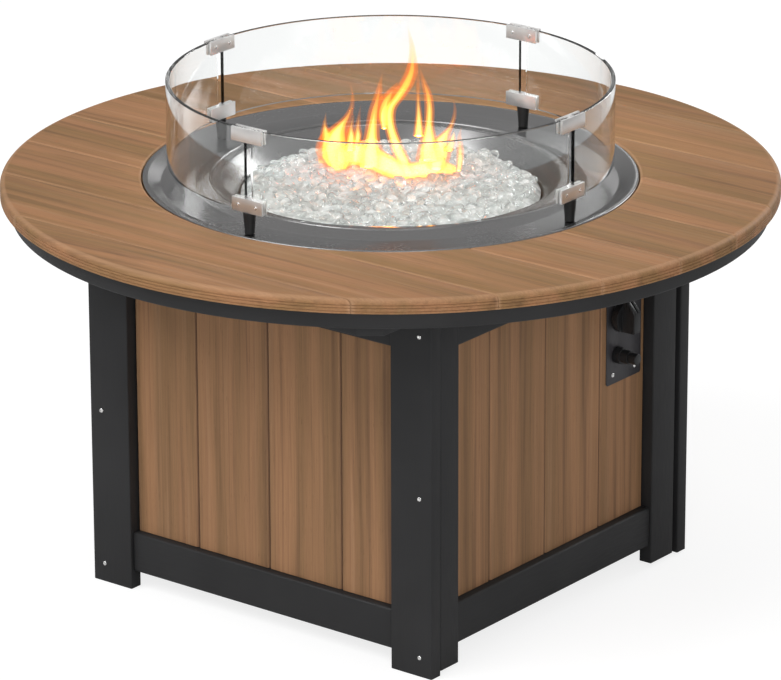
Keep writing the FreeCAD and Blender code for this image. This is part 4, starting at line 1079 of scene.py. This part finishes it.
def world():
    """Even soft light; white behind the object, and a dusky horizon in what metal shows."""
    made = bpy.data.worlds.new("studio")
    bpy.context.scene.world = made
    made.use_nodes = True
    tree = made.node_tree
    back = tree.nodes["Background"]
    back.inputs["Color"].default_value = (1, 1, 1, 1)
    path = add_node(tree, "ShaderNodeLightPath").outputs
    place = add_node(tree, "ShaderNodeTexCoord").outputs["Generated"]
    height = add_node(tree, "ShaderNodeSeparateXYZ", {0: place}).outputs["Z"]
    links = dict(zip(("From Min", "From Max", "To Min", "To Max"), LOW_SKY), Value=height)
    sky = add_node(tree, "ShaderNodeMapRange", links, interpolation_type="SMOOTHSTEP")
    mirrored = add_math(tree, "MAXIMUM", path["Is Glossy Ray"], path["Is Transmission Ray"])
    links = {0: mirrored, 2: WORLD_LEVEL, 3: sky.outputs["Result"]}
    shown = add_node(tree, "ShaderNodeMix", links).outputs[0]
    low = add_math(tree, "LESS_THAN", height, LOW_RAY)
    through = add_math(tree, "MULTIPLY", path["Is Transmission Ray"], low)
    clear = add_math(tree, "MAXIMUM", path["Is Camera Ray"], through)
    level = add_node(tree, "ShaderNodeMix", {0: clear, 2: shown, 3: 1.0}).outputs[0]
    tree.links.new(level, back.inputs["Strength"])


def floor():
    shape = bmesh.new()
    bmesh.ops.create_grid(shape, x_segments=1, y_segments=1, size=FLOOR_REACH)
    mesh = bpy.data.meshes.new("floor")
    shape.to_mesh(mesh)
    shape.free()
    made = add_object("floor", mesh)
    made.location.z = -FLOOR_DROP
    material = bpy.data.materials.new("floor")
    material.use_nodes = True
    tree = material.node_tree
    tree.nodes.remove(tree.nodes["Principled BSDF"])
    paint = add_node(tree, "ShaderNodeBsdfDiffuse", {"Color": (0.8, 0.8, 0.8, 1)}).outputs[0]
    glow = add_node(tree, "ShaderNodeEmission", {"Strength": FLOOR_GLOW}).outputs[0]
    path = add_node(tree, "ShaderNodeLightPath").outputs
    seen = add_math(tree, "MAXIMUM", path["Is Camera Ray"], path["Is Transmission Ray"])
    share = add_math(tree, "MULTIPLY", seen, FLOOR_SHARE)
    mixed = add_node(tree, "ShaderNodeMixShader", {0: share, 1: paint, 2: glow}).outputs[0]
    tree.links.new(mixed, tree.nodes["Material Output"].inputs[0])
    made.data.materials.append(material)


def lights():
    area_light("key", (-1.6, -4.3, 5.6), (0, 0, 0.4), (4.2, 4.2), 268)
    area_light("fill", (2.0, -2.1, 1.4), (0.2, 0, 0.4), (1.0, 1.0), 20)
    area_light("top", (0.5, 0.5, 5.0), (0, 0, 0.6), (1.0, 1.0), 12)
    area_light("back", (0.7, 5.25, 2.5), (0, 0, 0.6), (2.2, 2.0), 95)
    area_light("strip", (-2.1, 3.7, 1.85), (0, 0, 0.62), (0.3, 0.3), 1.2)


def smooth_run(points, steps):
    """More points on a smooth curve through some points (Catmull-Rom)."""
    rows = [Vector(point) for point in points]
    rows = [rows[0] * 2 - rows[1]] + rows + [rows[-1] * 2 - rows[-2]]
    result = []
    for a, b, c, d in zip(rows, rows[1:], rows[2:], rows[3:]):
        for k in range(steps):
            t = k / steps
            square = (a * 2 - b * 5 + c * 4 - d) * t**2
            cube = (b * 3 - a - c * 3 + d) * t**3
            result.append((b * 2 + (c - a) * t + square + cube) / 2)
    result.append(rows[-2])
    return result


def flame_glow(name, emission, strength, absorption, density):
    """Glowing gas: it adds light of one colour and takes the others from what lies behind."""
    material = bpy.data.materials.new(name)
    material.use_nodes = True
    tree = material.node_tree
    tree.nodes.remove(tree.nodes["Principled BSDF"])
    path = add_node(tree, "ShaderNodeLightPath").outputs
    seen = add_math(tree, "MAXIMUM", path["Is Camera Ray"], path["Is Transmission Ray"])
    links = {"Value": seen, "To Min": strength * FLAME_MIRRORED, "To Max": strength}
    level = add_node(tree, "ShaderNodeMapRange", links).outputs["Result"]
    links = {"Color": (*emission, 1), "Strength": level}
    glow = add_node(tree, "ShaderNodeEmission", links).outputs[0]
    links = {"Color": (*absorption, 1), "Density": density}
    veil = add_node(tree, "ShaderNodeVolumeAbsorption", links).outputs[0]
    both = add_node(tree, "ShaderNodeAddShader", {0: glow, 1: veil}).outputs[0]
    tree.links.new(both, tree.nodes["Material Output"].inputs["Volume"])
    return material


def tongue(name, points, material, level=False):
    """A closed, rounded ribbon through points of (along, across, height, half width)."""
    steps = 14
    shape = bmesh.new()
    rings = []
    run = smooth_run(points, 5)
    for along, across, height, half in run:
        half = max(half, 0.0003)
        deep = min(half, 0.0035 + 0.45 * half)
        ring = []
        for i in range(steps):
            t = tau * i / steps
            aside = along + half * cos(t)
            behind = across + deep * sin(t)
            z = height
            if level:
                aside, z = along, height + half * cos(t)
            place = FLAME_ALONG * aside + FLAME_ACROSS * behind
            ring.append(shape.verts.new((place.x, place.y, z)))
        rings.append(ring)
    for first, second in zip(rings, rings[1:]):
        for i in range(steps):
            j = (i + 1) % steps
            shape.faces.new((first[i], first[j], second[j], second[i]))
    shape.faces.new(rings[0][::-1])
    shape.faces.new(rings[-1])
    bmesh.ops.recalc_face_normals(shape, faces=shape.faces)
    made = loose_object(shape, name)
    made.data.materials.append(material)


def flame():
    """The fire that burns over the glass. It is no piece of the table."""
    outer = flame_glow("flame_outer", (1.0, 0.28, 0.04), 36.0, (1.0, 0.4, 0.1), 50.0)
    inner = flame_glow("flame_inner", (1.0, 0.64, 0.11), 100.0, (1.0, 0.8, 0.35), 40.0)
    white = flame_glow("flame_heart", (1.0, 0.88, 0.40), 125.0, (1.0, 0.9, 0.6), 30.0)
    for number, (across, points) in enumerate(TONGUES):
        count = len(points)
        rows = [
            (along, across, height, half * (1.3 - 0.35 * k / count))
            for k, (along, height, half) in enumerate(points)
        ]
        tongue(f"flame_tongue_{number + 1}", rows, outer)
        for label, width, share, material in (
            ("core", 0.72, 0.88, inner),
            ("heart", 0.46, 0.62, white),
        ):
            last = max(3, round(count * share))
            body = [
                (along, across, height, half * width * (1 - (k / (last - 0.9)) ** 2))
                for k, (along, _, height, half) in enumerate(rows[:last])
            ]
            tongue(f"flame_{label}_{number + 1}", body, material)
    base = []
    for along, across, half in FLAME_BASE:
        half *= FLAME_BASE_WIDENING
        base.append((along, across, FLAME_FOOT + half, half))
    for label, width, rows, material in (
        ("flame_base", 1.0, base, outer),
        ("flame_base_core", 0.9, base, inner),
        ("flame_base_heart", 0.6, base[1:-1], white),
    ):
        tongue(label, [(a, b, z, half * width) for a, b, z, half in rows], material, level=True)


camera()
world()
floor()
lights()
plain_nodes()
boards()
small_parts()
top_boards()
top_ring()
burner_pan()
for i in range(4):
    glass_panel(i)
screw_heads("face_screws", "face_screw_heads")
screw_heads("clip_screws", "clip_screw_heads")
guard_feet()
fire_glass()
flame()

bpy.context.scene.view_settings.view_transform = "Standard"
